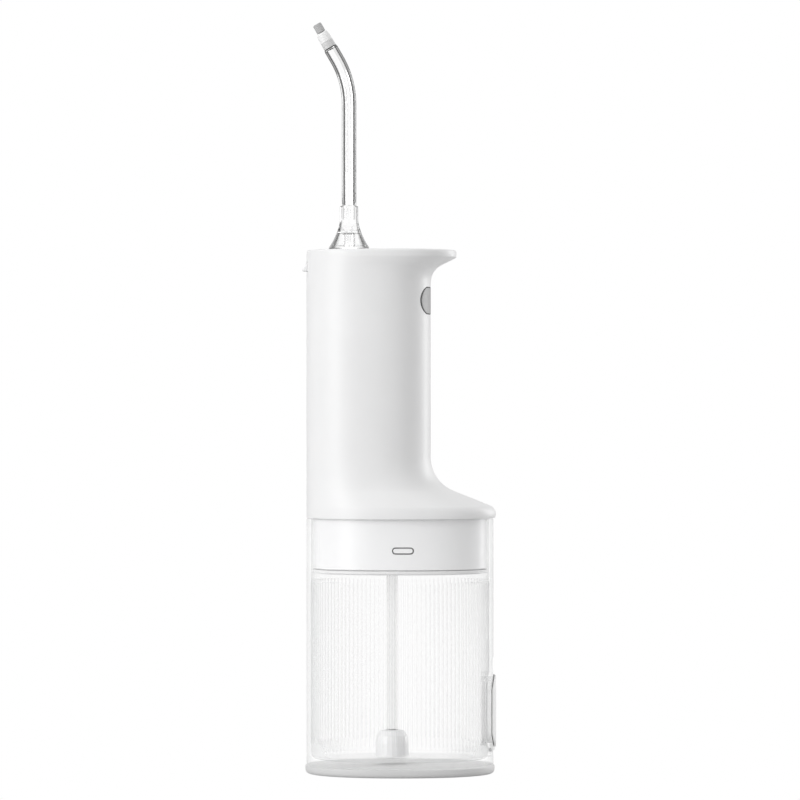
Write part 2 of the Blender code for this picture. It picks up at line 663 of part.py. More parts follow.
def build_cylinder(look):
    """The pump's barrel with its two nipples, and the valves in it."""
    profile = [
        (CYLINDER_BORE, CYLINDER_END_X + 2.0),
        (CYLINDER_BORE, CYLINDER_OPEN_X),
        (CYLINDER_RADIUS, CYLINDER_OPEN_X),
        (CYLINDER_RADIUS, CYLINDER_END_X),
    ]
    cylinder = turned("pump_cylinder", look["white_trim"], profile, (0.0, PISTON_Y, DRIVE_Z), "X", count=24)
    lowest = DRIVE_Z - CYLINDER_RADIUS
    highest = DRIVE_Z + CYLINDER_RADIUS
    join_rod(cylinder, "inlet_nipple", 2.6, (INLET_X, PISTON_Y, lowest - 0.8), 1.8, count=16)
    join_rod(cylinder, "outlet_nipple", NIPPLE_RADIUS, (OUTLET_X, PISTON_Y, highest - 1.0), 4.4, count=16)
    cut_rod(cylinder, "inlet_bore", 1.8, (INLET_X, PISTON_Y, lowest - 3.0), CYLINDER_RADIUS + 3.0, count=16)
    cut_rod(cylinder, "outlet_bore", 0.7, (OUTLET_X, PISTON_Y, DRIVE_Z), CYLINDER_RADIUS + 4.0, count=12)
    duckbill = [(1.4, lowest - 0.6), (1.4, lowest + 0.2), (0.5, lowest + 1.3)]
    turned("inlet_valve", look["rubber_seal"], duckbill, (INLET_X, PISTON_Y, 0.0), count=12)
    disc_start = (CYLINDER_END_X + 2.3, PISTON_Y, DRIVE_Z)
    rod("outlet_valve", look["rubber_seal"], 2.8, disc_start, 0.6, "X", count=16)


def build_piston(look):
    """The piston with its sealing ring and the slotted yoke that the crank pin drives."""
    centre = (0.0, PISTON_Y, DRIVE_Z)
    back = PISTON_FACE_X
    profile = [
        (PISTON_RADIUS, back),
        (PISTON_RADIUS, back + 0.9),
        (2.3, back + 0.9),
        (2.3, back + 2.6),
        (PISTON_RADIUS, back + 2.6),
        (PISTON_RADIUS, back + 4.0),
        (1.5, back + 4.0),
        (1.5, GEAR_X - YOKE_HALF_X + 0.5),
    ]
    piston = turned("pump_piston", look["white_trim"], profile, centre, "X", count=24)
    yoke = Vector((GEAR_X, PISTON_Y, DRIVE_Z))
    yoke_half = Vector((YOKE_HALF_X, YOKE_HALF_Y, YOKE_HALF_Z))
    join_box(piston, "yoke", yoke - yoke_half, yoke + yoke_half)
    slot_half = Vector((1.5, 3.0, 5.2))
    cut_box(piston, "yoke_slot", yoke - slot_half, yoke + slot_half)
    ring = [(2.6, back + 1.2), (3.35, back + 1.2), (3.35, back + 2.3), (2.6, back + 2.3)]
    turned("piston_seal", look["rubber_seal"], ring, centre, "X", loop=True, count=24)


def build_water_line(look):
    suction = [
        (FILTER_X, 0, 9),
        (FILTER_X, 0, 40),
        (FILTER_X, 0, 76),
        (-3.1, 0, 79.2),
        (-4.9, 0.3, 82.1),
        (-9, 0.9, 83.1),
        (-14, 1.9, 83.1),
        (-18.2, 2.6, 83.5),
        (-20.9, PISTON_Y, 85.2),
        (INLET_X, PISTON_Y, 87.5),
    ]
    pipe("suction_tube", look["hose_silicone"], smooth_path(suction), SUCTION_RADIUS, SUCTION_BORE)
    dome = [
        (2.6, FILTER_TOP),
        (4.5, FILTER_TOP - 0.4),
        (5.9, FILTER_TOP - 2.2),
        (FILTER_RADIUS, FILTER_TOP - 5.0),
        (FILTER_RADIUS, FILTER_BOTTOM),
        (FILTER_RADIUS - 0.9, FILTER_BOTTOM),
        (FILTER_RADIUS - 0.9, FILTER_TOP - 5.0),
        (4.7, FILTER_TOP - 2.8),
        (2.6, FILTER_TOP - 1.4),
    ]
    turned("intake_filter", look["white_trim"], dome, (FILTER_X, 0.0, 0.0), loop=True, count=20)
    delivery = [
        (OUTLET_X, PISTON_Y, DRIVE_Z + CYLINDER_RADIUS + GAP),
        (OUTLET_X, PISTON_Y, 103.5),
        (-22.0, 1.6, 113),
        (NOZZLE_X, 0, 125),
        (NOZZLE_X, 0, 150),
        (NOZZLE_X, 0, 177.5),
    ]
    pipe("delivery_hose", look["hose_silicone"], smooth_path(delivery), HOSE_RADIUS, HOSE_BORE)


# ---- handle ----------------------------------------------------------------------------------


def build_handle(look):
    roof = HANDLE_TOP - ROOF_THICKNESS
    cavity = [z for z in handle_heights()[::2] if z < roof - 1] + [roof]
    lining = [inner_ring(z) for z in reversed(cavity)]
    shell = add_mesh("handle_shell", look["white_shell"], lining + handle_rings())
    join_box(shell, "port_pad", (-34.3, -8.0, 115.5), (-32.6, 8.0, 133.0))

    recess = outer_ring(HANDLE_TOP - COVER_DEPTH, 2.2)
    cut(shell, add_mesh("cover_recess", None, [recess, moved_to(recess, HANDLE_TOP + 1)], helper=True))
    cut_rod(shell, "roof_hole", 8.8, (NOZZLE_X, 0, roof - 2), ROOF_THICKNESS + 2, count=28)
    button_slot = pill(BUTTON_WIDTH + 2 * GAP, BUTTON_HEIGHT + 2 * GAP, 0.0, BUTTON_Z)
    cut_outline(shell, "button_slot", button_slot, "X", 4.0, 20.0)
    lens_slot = pill(LENS_WIDTH + 2 * GAP, LENS_HEIGHT + 2 * GAP, 0.0, LENS_Z)
    cut_outline(shell, "lens_slot", lens_slot, "X", 8.0, 20.0)
    half = RELEASE_WIDTH / 2 + GAP
    cut_box(shell, "release_slot", (-39.0, -half, RELEASE_BOTTOM - GAP), (-32.0, half, RELEASE_TOP + GAP))
    port_recess = pill(COVER_WIDTH + 2 * GAP, COVER_HEIGHT + 2 * GAP, 0.0, COVER_Z)
    cut_outline(shell, "port_recess", port_recess, "X", -39.0, COVER_INNER_X + GAP)
    cut_outline(shell, "port_hole", pill(9.6, 3.8, 0.0, COVER_Z), "X", -36.0, -31.0)


def build_top(look):
    base = outer_ring(HANDLE_TOP - COVER_THICKNESS, 2.5)
    cover = add_mesh("top_cover", look["white_shell"], [base, moved_to(base, HANDLE_TOP)])
    cut_rod(cover, "cover_hole", 7.6, (NOZZLE_X, 0, 198), 4.0, count=28)
    socket = [
        (0.8, 172.0),
        (0.8, 180.5),
        (5.2, 180.5),
        (5.2, 198.4),
        (8.5, 198.4),
        (8.5, 197.3),
        (9.8, 197.3),
        (9.8, 195.8),
        (8.5, 195.8),
        (8.5, 178.0),
        (NIPPLE_RADIUS, 178.0),
        (NIPPLE_RADIUS, 172.0),
    ]
    turned("nozzle_socket", look["white_trim"], socket, (NOZZLE_X, 0.0, 0.0), loop=True, count=28)
    collar = [
        (2.6, 183.0),
        (2.6, 200.2),
        (7.2, 200.2),
        (7.2, 198.9),
        (4.4, 198.9),
        (4.4, 190.0),
        (3.7, 190.0),
        (3.7, 188.0),
        (4.4, 188.0),
        (4.4, 183.0),
    ]
    turned("turn_collar", look["white_trim"], collar, (NOZZLE_X, 0.0, 0.0), loop=True, count=28)
    ring = circle(0.42, 0.0, count=8)
    profile = [(4.3 + out, 189.0 + up) for out, up, _ in ring]
    turned("socket_o_ring", look["rubber_seal"], profile, (NOZZLE_X, 0.0, 0.0), loop=True, count=28)


def build_buttons(look):
    button = pill(BUTTON_WIDTH, BUTTON_HEIGHT, 0.0, BUTTON_Z)
    handle_piece("power_button", look["grey_plastic"], button, BUTTON_BACK_X, 20.0)
    pad = pill(BUTTON_WIDTH - 2, BUTTON_HEIGHT - 1, 0.0, BUTTON_Z)
    extrude_ring("button_pad", look["rubber_seal"], pad, pill(15.0, 4.0, 0.0, BUTTON_Z), "X", 5.2, 5.8)
    lens = pill(LENS_WIDTH, LENS_HEIGHT, 0.0, LENS_Z)
    handle_piece("indicator_lens", look["clear_nozzle"], lens, 10.4, 20.0)
    plate = pill(COVER_WIDTH, COVER_HEIGHT, 0.0, COVER_Z)
    cover = handle_piece("charge_cover", look["white_silicone"], plate, -40.0, COVER_INNER_X)
    join_outline(cover, "cover_plug", pill(7.6, 1.9, 0.0, COVER_Z), "X", -35.0, -31.5)


def build_release(look):
    """The release button at the back, its latch arm and the spring round the arm."""
    wedge = [
        (-31.8, RELEASE_BOTTOM),
        (RELEASE_OUT, RELEASE_BOTTOM),
        (RELEASE_OUT, RELEASE_BOTTOM + 0.5),
        (BACK_X, RELEASE_TOP),
        (-31.8, RELEASE_TOP),
    ]
    half = RELEASE_WIDTH / 2
    release = extrude("release_button", look["white_trim"], wedge, "Y", -half, half)
    join_box(release, "release_flange", (-32.6, -6.3, 190.8), (-31.0, 6.3, 196.2))
    join_rod(release, "latch_arm", 1.1, (-31.5, 0.0, LATCH_Z), 1.9, "X", count=12)
    turns, coil_radius, first_x, last_x = 3, 1.75, -30.4, -28.5
    points = 10 * turns
    coil = []
    for x, turn in zip(steps(first_x, last_x, points), steps(0.0, 2 * math.pi * turns, points)):
        coil.append(Vector((x, coil_radius * math.cos(turn), LATCH_Z + coil_radius * math.sin(turn))))
    add_mesh("release_spring", look["steel"], sweep_rings(coil, [0.22] * len(coil), 6))


# ---- nozzle ----------------------------------------------------------------------------------

BEND_LENGTH = BEND_RADIUS * BEND_ANGLE
TIP_START = BEND_LENGTH + STRAIGHT_END


def nozzle_axis(distance):
    """A point on the nozzle's middle line, measured from the start of the bend."""
    turn = min(max(distance / BEND_RADIUS, 0.0), BEND_ANGLE)
    x = NOZZLE_X - BEND_RADIUS * (1 - math.cos(turn))
    z = BEND_START + BEND_RADIUS * math.sin(turn)
    rest = distance - BEND_LENGTH if distance > BEND_LENGTH else min(distance, 0.0)
    return Vector((x - rest * math.sin(turn), 0.0, z + rest * math.cos(turn)))


def build_tip_piece(name, material, spots, seat):
    """A piece round the nozzle's end from (distance past the tube's shoulder, outer, inner radius)."""
    path = [nozzle_axis(TIP_START + distance) for distance, _, _ in spots]
    outer = [radius for _, radius, _ in spots]
    inner = [radius for _, _, radius in spots]
    with_origin(pipe(name, material, path, outer, inner, count=16), seat)


def build_nozzle(look):
    seat = (NOZZLE_X, 0.0, FLARE_BOTTOM)
    spots = [(STEM_BOTTOM, STEM_RADIUS), (FLARE_BOTTOM, STEM_RADIUS), (FLARE_BOTTOM, 7.85)]
    flare_start, flare_end, flare_reach = 201.2, 211.5, 4.1
    for share in steps(0, 1, 5):
        height = flare_start + share * (flare_end - flare_start)
        spots.append((height, SLEEVE_RADIUS + flare_reach * (1 - share) ** 1.55))
    spots += [(SLEEVE_TOP, SLEEVE_RADIUS), (SLEEVE_TOP, TUBE_RADIUS)]
    path = [Vector((NOZZLE_X, 0.0, height)) for height, _ in spots]
    radii = [radius for _, radius in spots]
    for distance in steps(0, BEND_LENGTH, 6) + [TIP_START]:
        path.append(nozzle_axis(distance))
        radii.append(TUBE_RADIUS)
    for distance in (TIP_START, TIP_START + 3.2):
        path.append(nozzle_axis(distance))
        radii.append(1.6)
    with_origin(pipe("nozzle_tube", look["clear_nozzle"], path, radii, BORE_RADIUS, count=16), seat)

    collar = [
        (0.3, 2.5, 1.9),
        (3.6, 2.5, 1.9),
        (3.6, 2.5, 1.3),
        (5.9, 2.4, 1.3),
        (TIP_COLLAR_LENGTH, 2.05, 1.3),
    ]
    build_tip_piece("nozzle_tip_collar", look["white_trim"], collar, seat)
    shoulder = TIP_COLLAR_LENGTH + GAP
    end = TIP_COLLAR_LENGTH + TIP_LENGTH
    outline = [(4.2, 1.0), (shoulder, 1.0), (shoulder, 1.75), (end - 0.3, 1.75), (end, 1.5)]
    tip = [(distance, radius, 0.4) for distance, radius in outline]
    build_tip_piece("nozzle_tip", look["grey_plastic"], tip, seat)


def main():
    for obj in list(bpy.data.objects):
        bpy.data.objects.remove(obj)
    look = {name: finish(name, *values) for name, values in FINISHES.items()}
    builders = (
        build_base,
        build_tank,
        build_fill_cap,
        build_housing,
        build_frame,
        build_power,
        build_drive,
        build_cylinder,
        build_piston,
        build_water_line,
        build_handle,
        build_top,
        build_buttons,
        build_release,
        build_nozzle,
    )
    for build in builders:
        build(look)


main()
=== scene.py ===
"""The looks of the water flosser: fine shells, clear parts, materials, light and camera.

Shapes are worked out in millimetres from the frame's boxes, and add_mesh() turns them into metres.
"""

import json
import math

import bmesh
import bpy
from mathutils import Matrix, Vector


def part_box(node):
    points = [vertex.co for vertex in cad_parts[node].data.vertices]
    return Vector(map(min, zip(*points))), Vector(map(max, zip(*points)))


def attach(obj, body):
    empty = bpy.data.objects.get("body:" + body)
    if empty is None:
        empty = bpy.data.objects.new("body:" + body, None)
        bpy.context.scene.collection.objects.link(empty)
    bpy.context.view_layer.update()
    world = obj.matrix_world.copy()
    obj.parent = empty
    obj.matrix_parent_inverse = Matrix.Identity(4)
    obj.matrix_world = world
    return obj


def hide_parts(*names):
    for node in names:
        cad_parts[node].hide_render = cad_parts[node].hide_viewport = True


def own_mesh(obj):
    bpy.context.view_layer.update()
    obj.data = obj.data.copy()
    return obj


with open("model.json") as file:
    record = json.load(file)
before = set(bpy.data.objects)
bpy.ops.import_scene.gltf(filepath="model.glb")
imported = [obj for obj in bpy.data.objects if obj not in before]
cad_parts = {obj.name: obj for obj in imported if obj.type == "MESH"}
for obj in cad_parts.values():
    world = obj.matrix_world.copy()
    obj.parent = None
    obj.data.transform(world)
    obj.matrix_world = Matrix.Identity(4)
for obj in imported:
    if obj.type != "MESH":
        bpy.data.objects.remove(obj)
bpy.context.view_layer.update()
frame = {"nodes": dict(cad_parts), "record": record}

MM = 0.001
FULL_TURN = 2 * math.pi
ROUND = 160  # points round a large oval
SMALL_ROUND = 72  # points round a small circle
FINE_ROUND = 4000  # points round the oval along which flutes are spaced
PLAN_POWER = 2.2  # the superellipse power of every large oval
SMOOTH_ANGLE = 30.0  # degrees; steeper edges are shaded sharp
CURVED_ANGLE = 50.0  # the same for fluted walls and thin wire
BEVEL_ANGLE = 40.0  # degrees; steeper edges are rounded by a bevel


def millimetres(node):
    """The CAD node's lowest and highest corner, in millimetres."""
    low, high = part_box(node)
    return Vector(low) / MM, Vector(high) / MM


TANK_LOW, TANK_HIGH = millimetres("tank_shell")
SHELL_LOW, SHELL_HIGH = millimetres("handle_shell")
HOUSING_LOW, HOUSING_HIGH = millimetres("pump_housing")
BASE_HIGH = millimetres("base_cap")[1]
PLUG_LOW, PLUG_HIGH = millimetres("fill_cap")
VENT_LOW, VENT_HIGH = millimetres("vent_insert")
BUTTON_LOW, BUTTON_HIGH = millimetres("power_button")
RELEASE_LOW, RELEASE_HIGH = millimetres("release_button")
COVER_LOW, COVER_HIGH = millimetres("charge_cover")
LENS_LOW, LENS_HIGH = millimetres("indicator_lens")
NOZZLE_LOW = millimetres("nozzle_tube")[0]
COLLAR_LOW, COLLAR_HIGH = millimetres("turn_collar")
SEAL_LOW, SEAL_HIGH = millimetres("tank_seal")
TOP_LOW, TOP_HIGH = millimetres("top_cover")
SPRING_LOW, SPRING_HIGH = millimetres("release_spring")
FILTER_LOW, FILTER_HIGH = millimetres("intake_filter")
SCREWS = [millimetres(f"housing_screw_{number}") for number in range(1, 5)]

WALL = 1.8  # the shells' wall
GAP = 0.3  # between two pieces that move or meet
BUTTON_GAP = 0.4
BUTTON_END_GAP = 0.5
VENT_GAP = 0.45


# ---- mesh tools ------------------------------------------------------------------------------


def middle(low, high):
    return (low + high) / 2


def steps(first, last, count):
    """Evenly spaced values from first to last, both included."""
    return [first + (last - first) * i / count for i in range(count + 1)]


def turns_round(count):
    """Evenly spaced angles round a full circle."""
    return steps(0.0, FULL_TURN, count)[:-1]


def add_mesh(name, rings, loop=False, sharp=SMOOTH_ANGLE):
    """A closed solid skinned over rings of points in millimetres; with loop the last ring meets the first."""
    mesh = bpy.data.meshes.new(name)
    work = bmesh.new()
    rows = [[work.verts.new(Vector(point) * MM) for point in ring] for ring in rings]
    count = len(rows[0])
    pairs = list(zip(rows, rows[1:]))
    if loop:
        pairs.append((rows[-1], rows[0]))
    else:
        work.faces.new(rows[0])
        work.faces.new(rows[-1])
    for lower, upper in pairs:
        for i in range(count):
            j = (i + 1) % count
            work.faces.new((lower[i], lower[j], upper[j], upper[i]))
    bmesh.ops.recalc_face_normals(work, faces=work.faces)
    work.to_mesh(mesh)
    work.free()
    mesh.shade_smooth()
    mesh.set_sharp_from_angle(angle=math.radians(sharp))
    obj = bpy.data.objects.new(name, mesh)
    bpy.context.scene.collection.objects.link(obj)
    return obj


def superellipse(front, back, half_width, z, count=ROUND, power=PLAN_POWER):
    """A level ring of points from back to front along X, between a circle and a rounded box in shape."""
    middle_x = middle(front, back)
    reach = (front - back) / 2
    ring = []
    for turn in turns_round(count):
        c, s = math.cos(turn), math.sin(turn)
        x = middle_x + reach * math.copysign(abs(c) ** (2 / power), c)
        y = half_width * math.copysign(abs(s) ** (2 / power), s)
        ring.append((x, y, z))
    return ring


def centred_oval(corner, inset, z):
    """The superellipse round the Z axis that fills a box with this highest corner, drawn in by an inset."""
    return superellipse(corner.x - inset, -corner.x + inset, corner.y - inset, z)


def even_oval(half_x, half_y, count):
    """Points evenly spaced along a centred superellipse, each with its outward normal."""
    fine = [Vector(p) for p in superellipse(half_x, -half_x, half_y, 0.0, FINE_ROUND)]
    fine.append(fine[0])
    lengths = [0.0]
    for a, b in zip(fine, fine[1:]):
        lengths.append(lengths[-1] + (b - a).length)
    spots = []
    index = 0
    for i in range(count):
        target = lengths[-1] * i / count
        while lengths[index + 1] < target:
            index += 1
        share = (target - lengths[index]) / (lengths[index + 1] - lengths[index])
        along = (fine[index + 1] - fine[index]).normalized()
        spots.append((fine[index].lerp(fine[index + 1], share), Vector((along.y, -along.x, 0.0))))
    return spots


def disc(radius, u, v, count=SMALL_ROUND):
    """A round flat outline about (u, v)."""
    return [(u + radius * math.cos(t), v + radius * math.sin(t)) for t in turns_round(count)]


def rectangle(half_width, low, high):
    """A flat outline that is symmetric in its first coordinate."""
    return [(-half_width, low), (half_width, low), (half_width, high), (-half_width, high)]


def pill(width, height, u=0.0, v=0.0, arc_points=20):
    """A flat outline round (u, v): a rectangle whose shorter sides are half circles."""
    radius = min(width, height) / 2
    du, dv = width / 2 - radius, height / 2 - radius
    start = 0.0 if height > width else -math.pi / 2
    outline = []
    for end in (0, 1):
        away = 1 - 2 * end
        for i in range(arc_points + 1):
            turn = start + math.pi * (end + i / arc_points)
            outline.append((u + away * du + radius * math.cos(turn), v + away * dv + radius * math.sin(turn)))
    return outline


def lifted(outline, axis, level):
    """The outline as points in space, square to the axis at a level along it."""
    if axis == "X":
        return [(level, u, v) for u, v in outline]
    if axis == "Y":
        return [(u, level, v) for u, v in outline]
    return [(u, v, level) for u, v in outline]


def extruded(name, outline, axis, low, high):
    """A straight bar with this outline, between two levels of the axis."""
    return add_mesh(name, [lifted(outline, axis, low), lifted(outline, axis, high)])


def boolean(obj, other, operation="DIFFERENCE"):
    """Cuts, joins or intersects at once, and removes the other object."""
    modifier = obj.modifiers.new("cut", "BOOLEAN")
    modifier.operation = operation
    modifier.object = other
    graph = bpy.context.evaluated_depsgraph_get()
    result = bpy.data.meshes.new_from_object(obj.evaluated_get(graph))
    obj.modifiers.clear()
    obj.data = result
    bpy.data.objects.remove(other)
    return obj


def cut(obj, outline, axis, low, high):
    """Takes a straight bar with this outline out of the object."""
    return boolean(obj, extruded("cutter", outline, axis, low, high))


def join(obj, outline, axis, low, high):
    """Adds a straight bar with this outline to the object."""
    return boolean(obj, extruded("cutter", outline, axis, low, high), "UNION")


def trim(obj, outline, axis, low, high):
    """Keeps only what lies inside a straight bar with this outline."""
    return boolean(obj, extruded("cutter", outline, axis, low, high), "INTERSECT")


def drill(obj, radius, x, y, low, high):
    """An upright round hole between two heights."""
    return cut(obj, disc(radius, x, y), "Z", low, high)


def tube_ring(point, ahead, radius, count=10):
    """A circle round a point, square to the way ahead."""
    side = Vector((1.0, 0.0, 0.0))
    side = (side - ahead * side.dot(ahead)).normalized()
    other = ahead.cross(side)
    return [point + radius * (side * math.cos(t) + other * math.sin(t)) for t in turns_round(count)]


def loop_tube(points, radius):
    """Circles along a closed path."""
    aheads = [(points[(i + 1) % len(points)] - points[i - 1]).normalized() for i in range(len(points))]
    return [tube_ring(point, ahead, radius) for point, ahead in zip(points, aheads)]


def open_tube(points, radius):
    """Circles along a path with two ends."""
    last = len(points) - 1
    aheads = [(points[min(i + 1, last)] - points[max(i - 1, 0)]).normalized() for i in range(last + 1)]
    return [tube_ring(point, ahead, radius) for point, ahead in zip(points, aheads)]


def finished(obj, material, body, *nodes, slot, bevel=0.0, sharp=SMOOTH_ANGLE):
    """Material, optional edge round, body and the CAD nodes that the piece stands for. slot is not used."""
    obj.data.materials.clear()
    obj.data.materials.append(material)
    obj.data.shade_smooth()
    obj.data.set_sharp_from_angle(angle=math.radians(sharp))
    if bevel:
        modifier = obj.modifiers.new("edge", "BEVEL")
        modifier.width = bevel * MM
        modifier.segments = 3
        modifier.limit_method = "ANGLE"
        modifier.angle_limit = math.radians(BEVEL_ANGLE)
        modifier.harden_normals = True
    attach(obj, body)
    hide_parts(*nodes)
    return obj


# ---- materials -------------------------------------------------------------------------------

FLOW_SCALE = 55.0  # noise cells per metre of the flow marks in moulded plastic
CLEAR_FLOW_SCALE = 40.0
SOAK_DEPTH = 0.004  # how far light soaks into nylon, in metres
WALL_IOR = 1.2  # low, so that the many clear walls in a row mirror little
TUBE_IOR = 1.49
WHITE = (1.0, 1.0, 1.0, 1.0)


def new_material(name):
    material = bpy.data.materials.new(name)
    material.use_nodes = True
    tree = material.node_tree
    return material, tree, tree.nodes["Principled BSDF"]


def noise_texture(tree, scale, vector):
    node = tree.nodes.new("ShaderNodeTexNoise")
    node.inputs["Scale"].default_value = scale
    tree.links.new(vector, node.inputs["Vector"])
    return node


def noise(tree, scale, detail=3.0):
    """A noise texture in object space, scale per metre."""
    place = tree.nodes.new("ShaderNodeTexCoord")
    node = noise_texture(tree, scale, place.outputs["Object"])
    node.inputs["Detail"].default_value = detail
    return node.outputs["Fac"]


def ramp(tree, factor, low, high, start=0.3, end=0.7):
    """Turns a factor into a colour between low and high."""
    node = tree.nodes.new("ShaderNodeValToRGB")
    node.color_ramp.elements[0].position = start
    node.color_ramp.elements[0].color = (*low, 1.0)
    node.color_ramp.elements[1].position = end
    node.color_ramp.elements[1].color = (*high, 1.0)
    tree.links.new(factor, node.inputs["Fac"])
    return node.outputs["Color"]


def spread(tree, factor, low, high):
    """Maps a factor from 0..1 onto low..high."""
    node = tree.nodes.new("ShaderNodeMapRange")
    node.inputs["To Min"].default_value = low
    node.inputs["To Max"].default_value = high
    tree.links.new(factor, node.inputs["Value"])
    return node.outputs["Result"]


def bump(tree, shader, height, strength, depth):
    """Fine relief, its depth in metres."""
    node = tree.nodes.new("ShaderNodeBump")
    node.inputs["Strength"].default_value = strength
    node.inputs["Distance"].default_value = depth
    tree.links.new(height, node.inputs["Height"])
    tree.links.new(node.outputs["Normal"], shader.inputs["Normal"])


def math_node(tree, operation, *values):
    """A math node whose inputs are sockets or plain numbers."""
    node = tree.nodes.new("ShaderNodeMath")
    node.operation = operation
    for socket, value in zip(node.inputs, values):
        if isinstance(value, (int, float)):
            socket.default_value = value
        else:
            tree.links.new(value, socket)
    return node.outputs[0]


def mix_shaders(tree, factor, plain, special):
    """The material shows the special shader where the factor is 1, else the plain one."""
    mix = tree.nodes.new("ShaderNodeMixShader")
    tree.links.new(factor, mix.inputs["Fac"])
    tree.links.new(plain, mix.inputs[1])
    tree.links.new(special, mix.inputs[2])
    tree.links.new(mix.outputs["Shader"], tree.nodes["Material Output"].inputs["Surface"])


def moulded(name, colour, roughness, grain=2600.0, grain_depth=0.00002, mottling=0.012,
            soak=0.0, sheen=0.0, lift=0.0):
    """Moulded plastic: a fine spark-eroded grain, with faint flow variation in colour and gloss.

    soak is the share of light that scatters inside. sheen brightens the edges. lift is a painted glow, a
    faint light of its own, for a piece behind several clear walls, which would hold too much light back.
    """
    material, tree, shader = new_material(name)
    flow = noise(tree, FLOW_SCALE)
    low = tuple(c * (1 - mottling) for c in colour)
    high = tuple(min(c * (1 + mottling), 1.0) for c in colour)
    tree.links.new(ramp(tree, flow, low, high), shader.inputs["Base Color"])
    tree.links.new(spread(tree, flow, roughness - 0.05, roughness + 0.05), shader.inputs["Roughness"])
    if grain_depth:
        bump(tree, shader, noise(tree, grain, 2.0), 0.25, grain_depth)
    shader.inputs["Sheen Weight"].default_value = sheen
    shader.inputs["Emission Color"].default_value = WHITE
    shader.inputs["Emission Strength"].default_value = lift
    if soak:
        shader.inputs["Subsurface Weight"].default_value = soak
        shader.inputs["Subsurface Radius"].default_value = (SOAK_DEPTH, SOAK_DEPTH, SOAK_DEPTH)
        shader.inputs["Subsurface Scale"].default_value = 1.0
    return material


def metal(name, colour, roughness, brushing=900.0):
    """Machined or drawn metal with fine lines across X and Y."""
    material, tree, shader = new_material(name)
    place = tree.nodes.new("ShaderNodeTexCoord")
    stretch = tree.nodes.new("ShaderNodeMapping")
    stretch.inputs["Scale"].default_value = (0.05, 1.0, 1.0)
    tree.links.new(place.outputs["Object"], stretch.inputs["Vector"])
    lines = noise_texture(tree, brushing, stretch.outputs["Vector"]).outputs["Fac"]
    tree.links.new(ramp(tree, lines, tuple(c * 0.85 for c in colour), colour), shader.inputs["Base Color"])
    tree.links.new(spread(tree, lines, roughness - 0.08, roughness + 0.12), shader.inputs["Roughness"])
    shader.inputs["Metallic"].default_value = 1.0
    bump(tree, shader, lines, 0.15, 0.00002)
    return material


def facing_ramp(tree, stops):
    """Greys by how far the surface turns from the viewer: 0 where it faces the viewer, 1 at its edge."""
    weight = tree.nodes.new("ShaderNodeLayerWeight")
    weight.inputs["Blend"].default_value = 0.5
    node = tree.nodes.new("ShaderNodeValToRGB")
    while len(node.color_ramp.elements) < len(stops):
        node.color_ramp.elements.new(0.5)
    for element, (position, grey) in zip(node.color_ramp.elements, stops):
        element.position = position
        element.color = (grey, grey, grey, 1.0)
    tree.links.new(weight.outputs["Facing"], node.inputs["Fac"])
    return node.outputs["Color"]


def let_light_through(tree, shader):
    """Lamp and bounce light pass straight through the surface, so what is behind it stays well lit."""
    path = tree.nodes.new("ShaderNodeLightPath")
    either = math_node(tree, "MAXIMUM", path.outputs["Is Shadow Ray"], path.outputs["Is Diffuse Ray"])
    clear = tree.nodes.new("ShaderNodeBsdfTransparent")
    mix_shaders(tree, either, shader.outputs["BSDF"], clear.outputs["BSDF"])


def glass(name, stops):
    """Clear refracting plastic with a painted dark rim: its colour darkens where the surface turns away, in
    place of dark surroundings seen through its sides.
    """
    material, tree, shader = new_material(name)
    shader.inputs["IOR"].default_value = TUBE_IOR
    shader.inputs["Transmission Weight"].default_value = 1.0
    tree.links.new(facing_ramp(tree, stops), shader.inputs["Base Color"])
    tree.links.new(spread(tree, noise(tree, 60.0), 0.0, 0.01), shader.inputs["Roughness"])
    let_light_through(tree, shader)
    return material


def veiled(name, colour, roughness, stops, grain_depth):
    """Thin clear or frosted plastic: a pale veil over a see-through wall, thicker towards its edges."""
    material, tree, shader = new_material(name)
    flow = noise(tree, CLEAR_FLOW_SCALE)
    low = tuple(c * 0.98 for c in colour)
    tree.links.new(ramp(tree, flow, low, colour), shader.inputs["Base Color"])
    tree.links.new(spread(tree, flow, roughness * 0.9, roughness * 1.1), shader.inputs["Roughness"])
    tree.links.new(facing_ramp(tree, stops), shader.inputs["Alpha"])
    shader.inputs["IOR"].default_value = WALL_IOR
    bump(tree, shader, noise(tree, 1800.0, 2.0), 0.2, grain_depth)
    let_light_through(tree, shader)
    return material


WHITE_SHELL = moulded("satin_white_shell", (0.86, 0.86, 0.862), 0.42)
WHITE_TRIM = moulded("white_housing_plastic", (0.9, 0.902, 0.906), 0.35)
# A lighter copy of the trim white: painted light on the collar and vent, making up for light that the tank
# wall in front of them holds back.
LIT_COLLAR_WHITE = moulded("collar_white_painted_light", (0.95, 0.95, 0.955), 0.35)
GREY_BASE = moulded("grey_base_plastic", (0.67, 0.67, 0.67), 0.55, sheen=0.3)
GREY_PLASTIC = moulded("grey_button_plastic", (0.4, 0.4, 0.4), 0.45)
WHITE_SILICONE = moulded("white_silicone", (0.85, 0.85, 0.85), 0.6, grain=1500.0)
GREY_SILICONE = moulded("grey_silicone", (0.32, 0.32, 0.33), 0.7, grain=1500.0)
# The plug's lift is a painted glow that brightens it where the clear walls in front would leave it too dark.
GLOWING_PLUG_SILICONE = moulded("plug_silicone_painted_glow", (0.8, 0.8, 0.8), 0.5, grain=1500.0, lift=0.12)
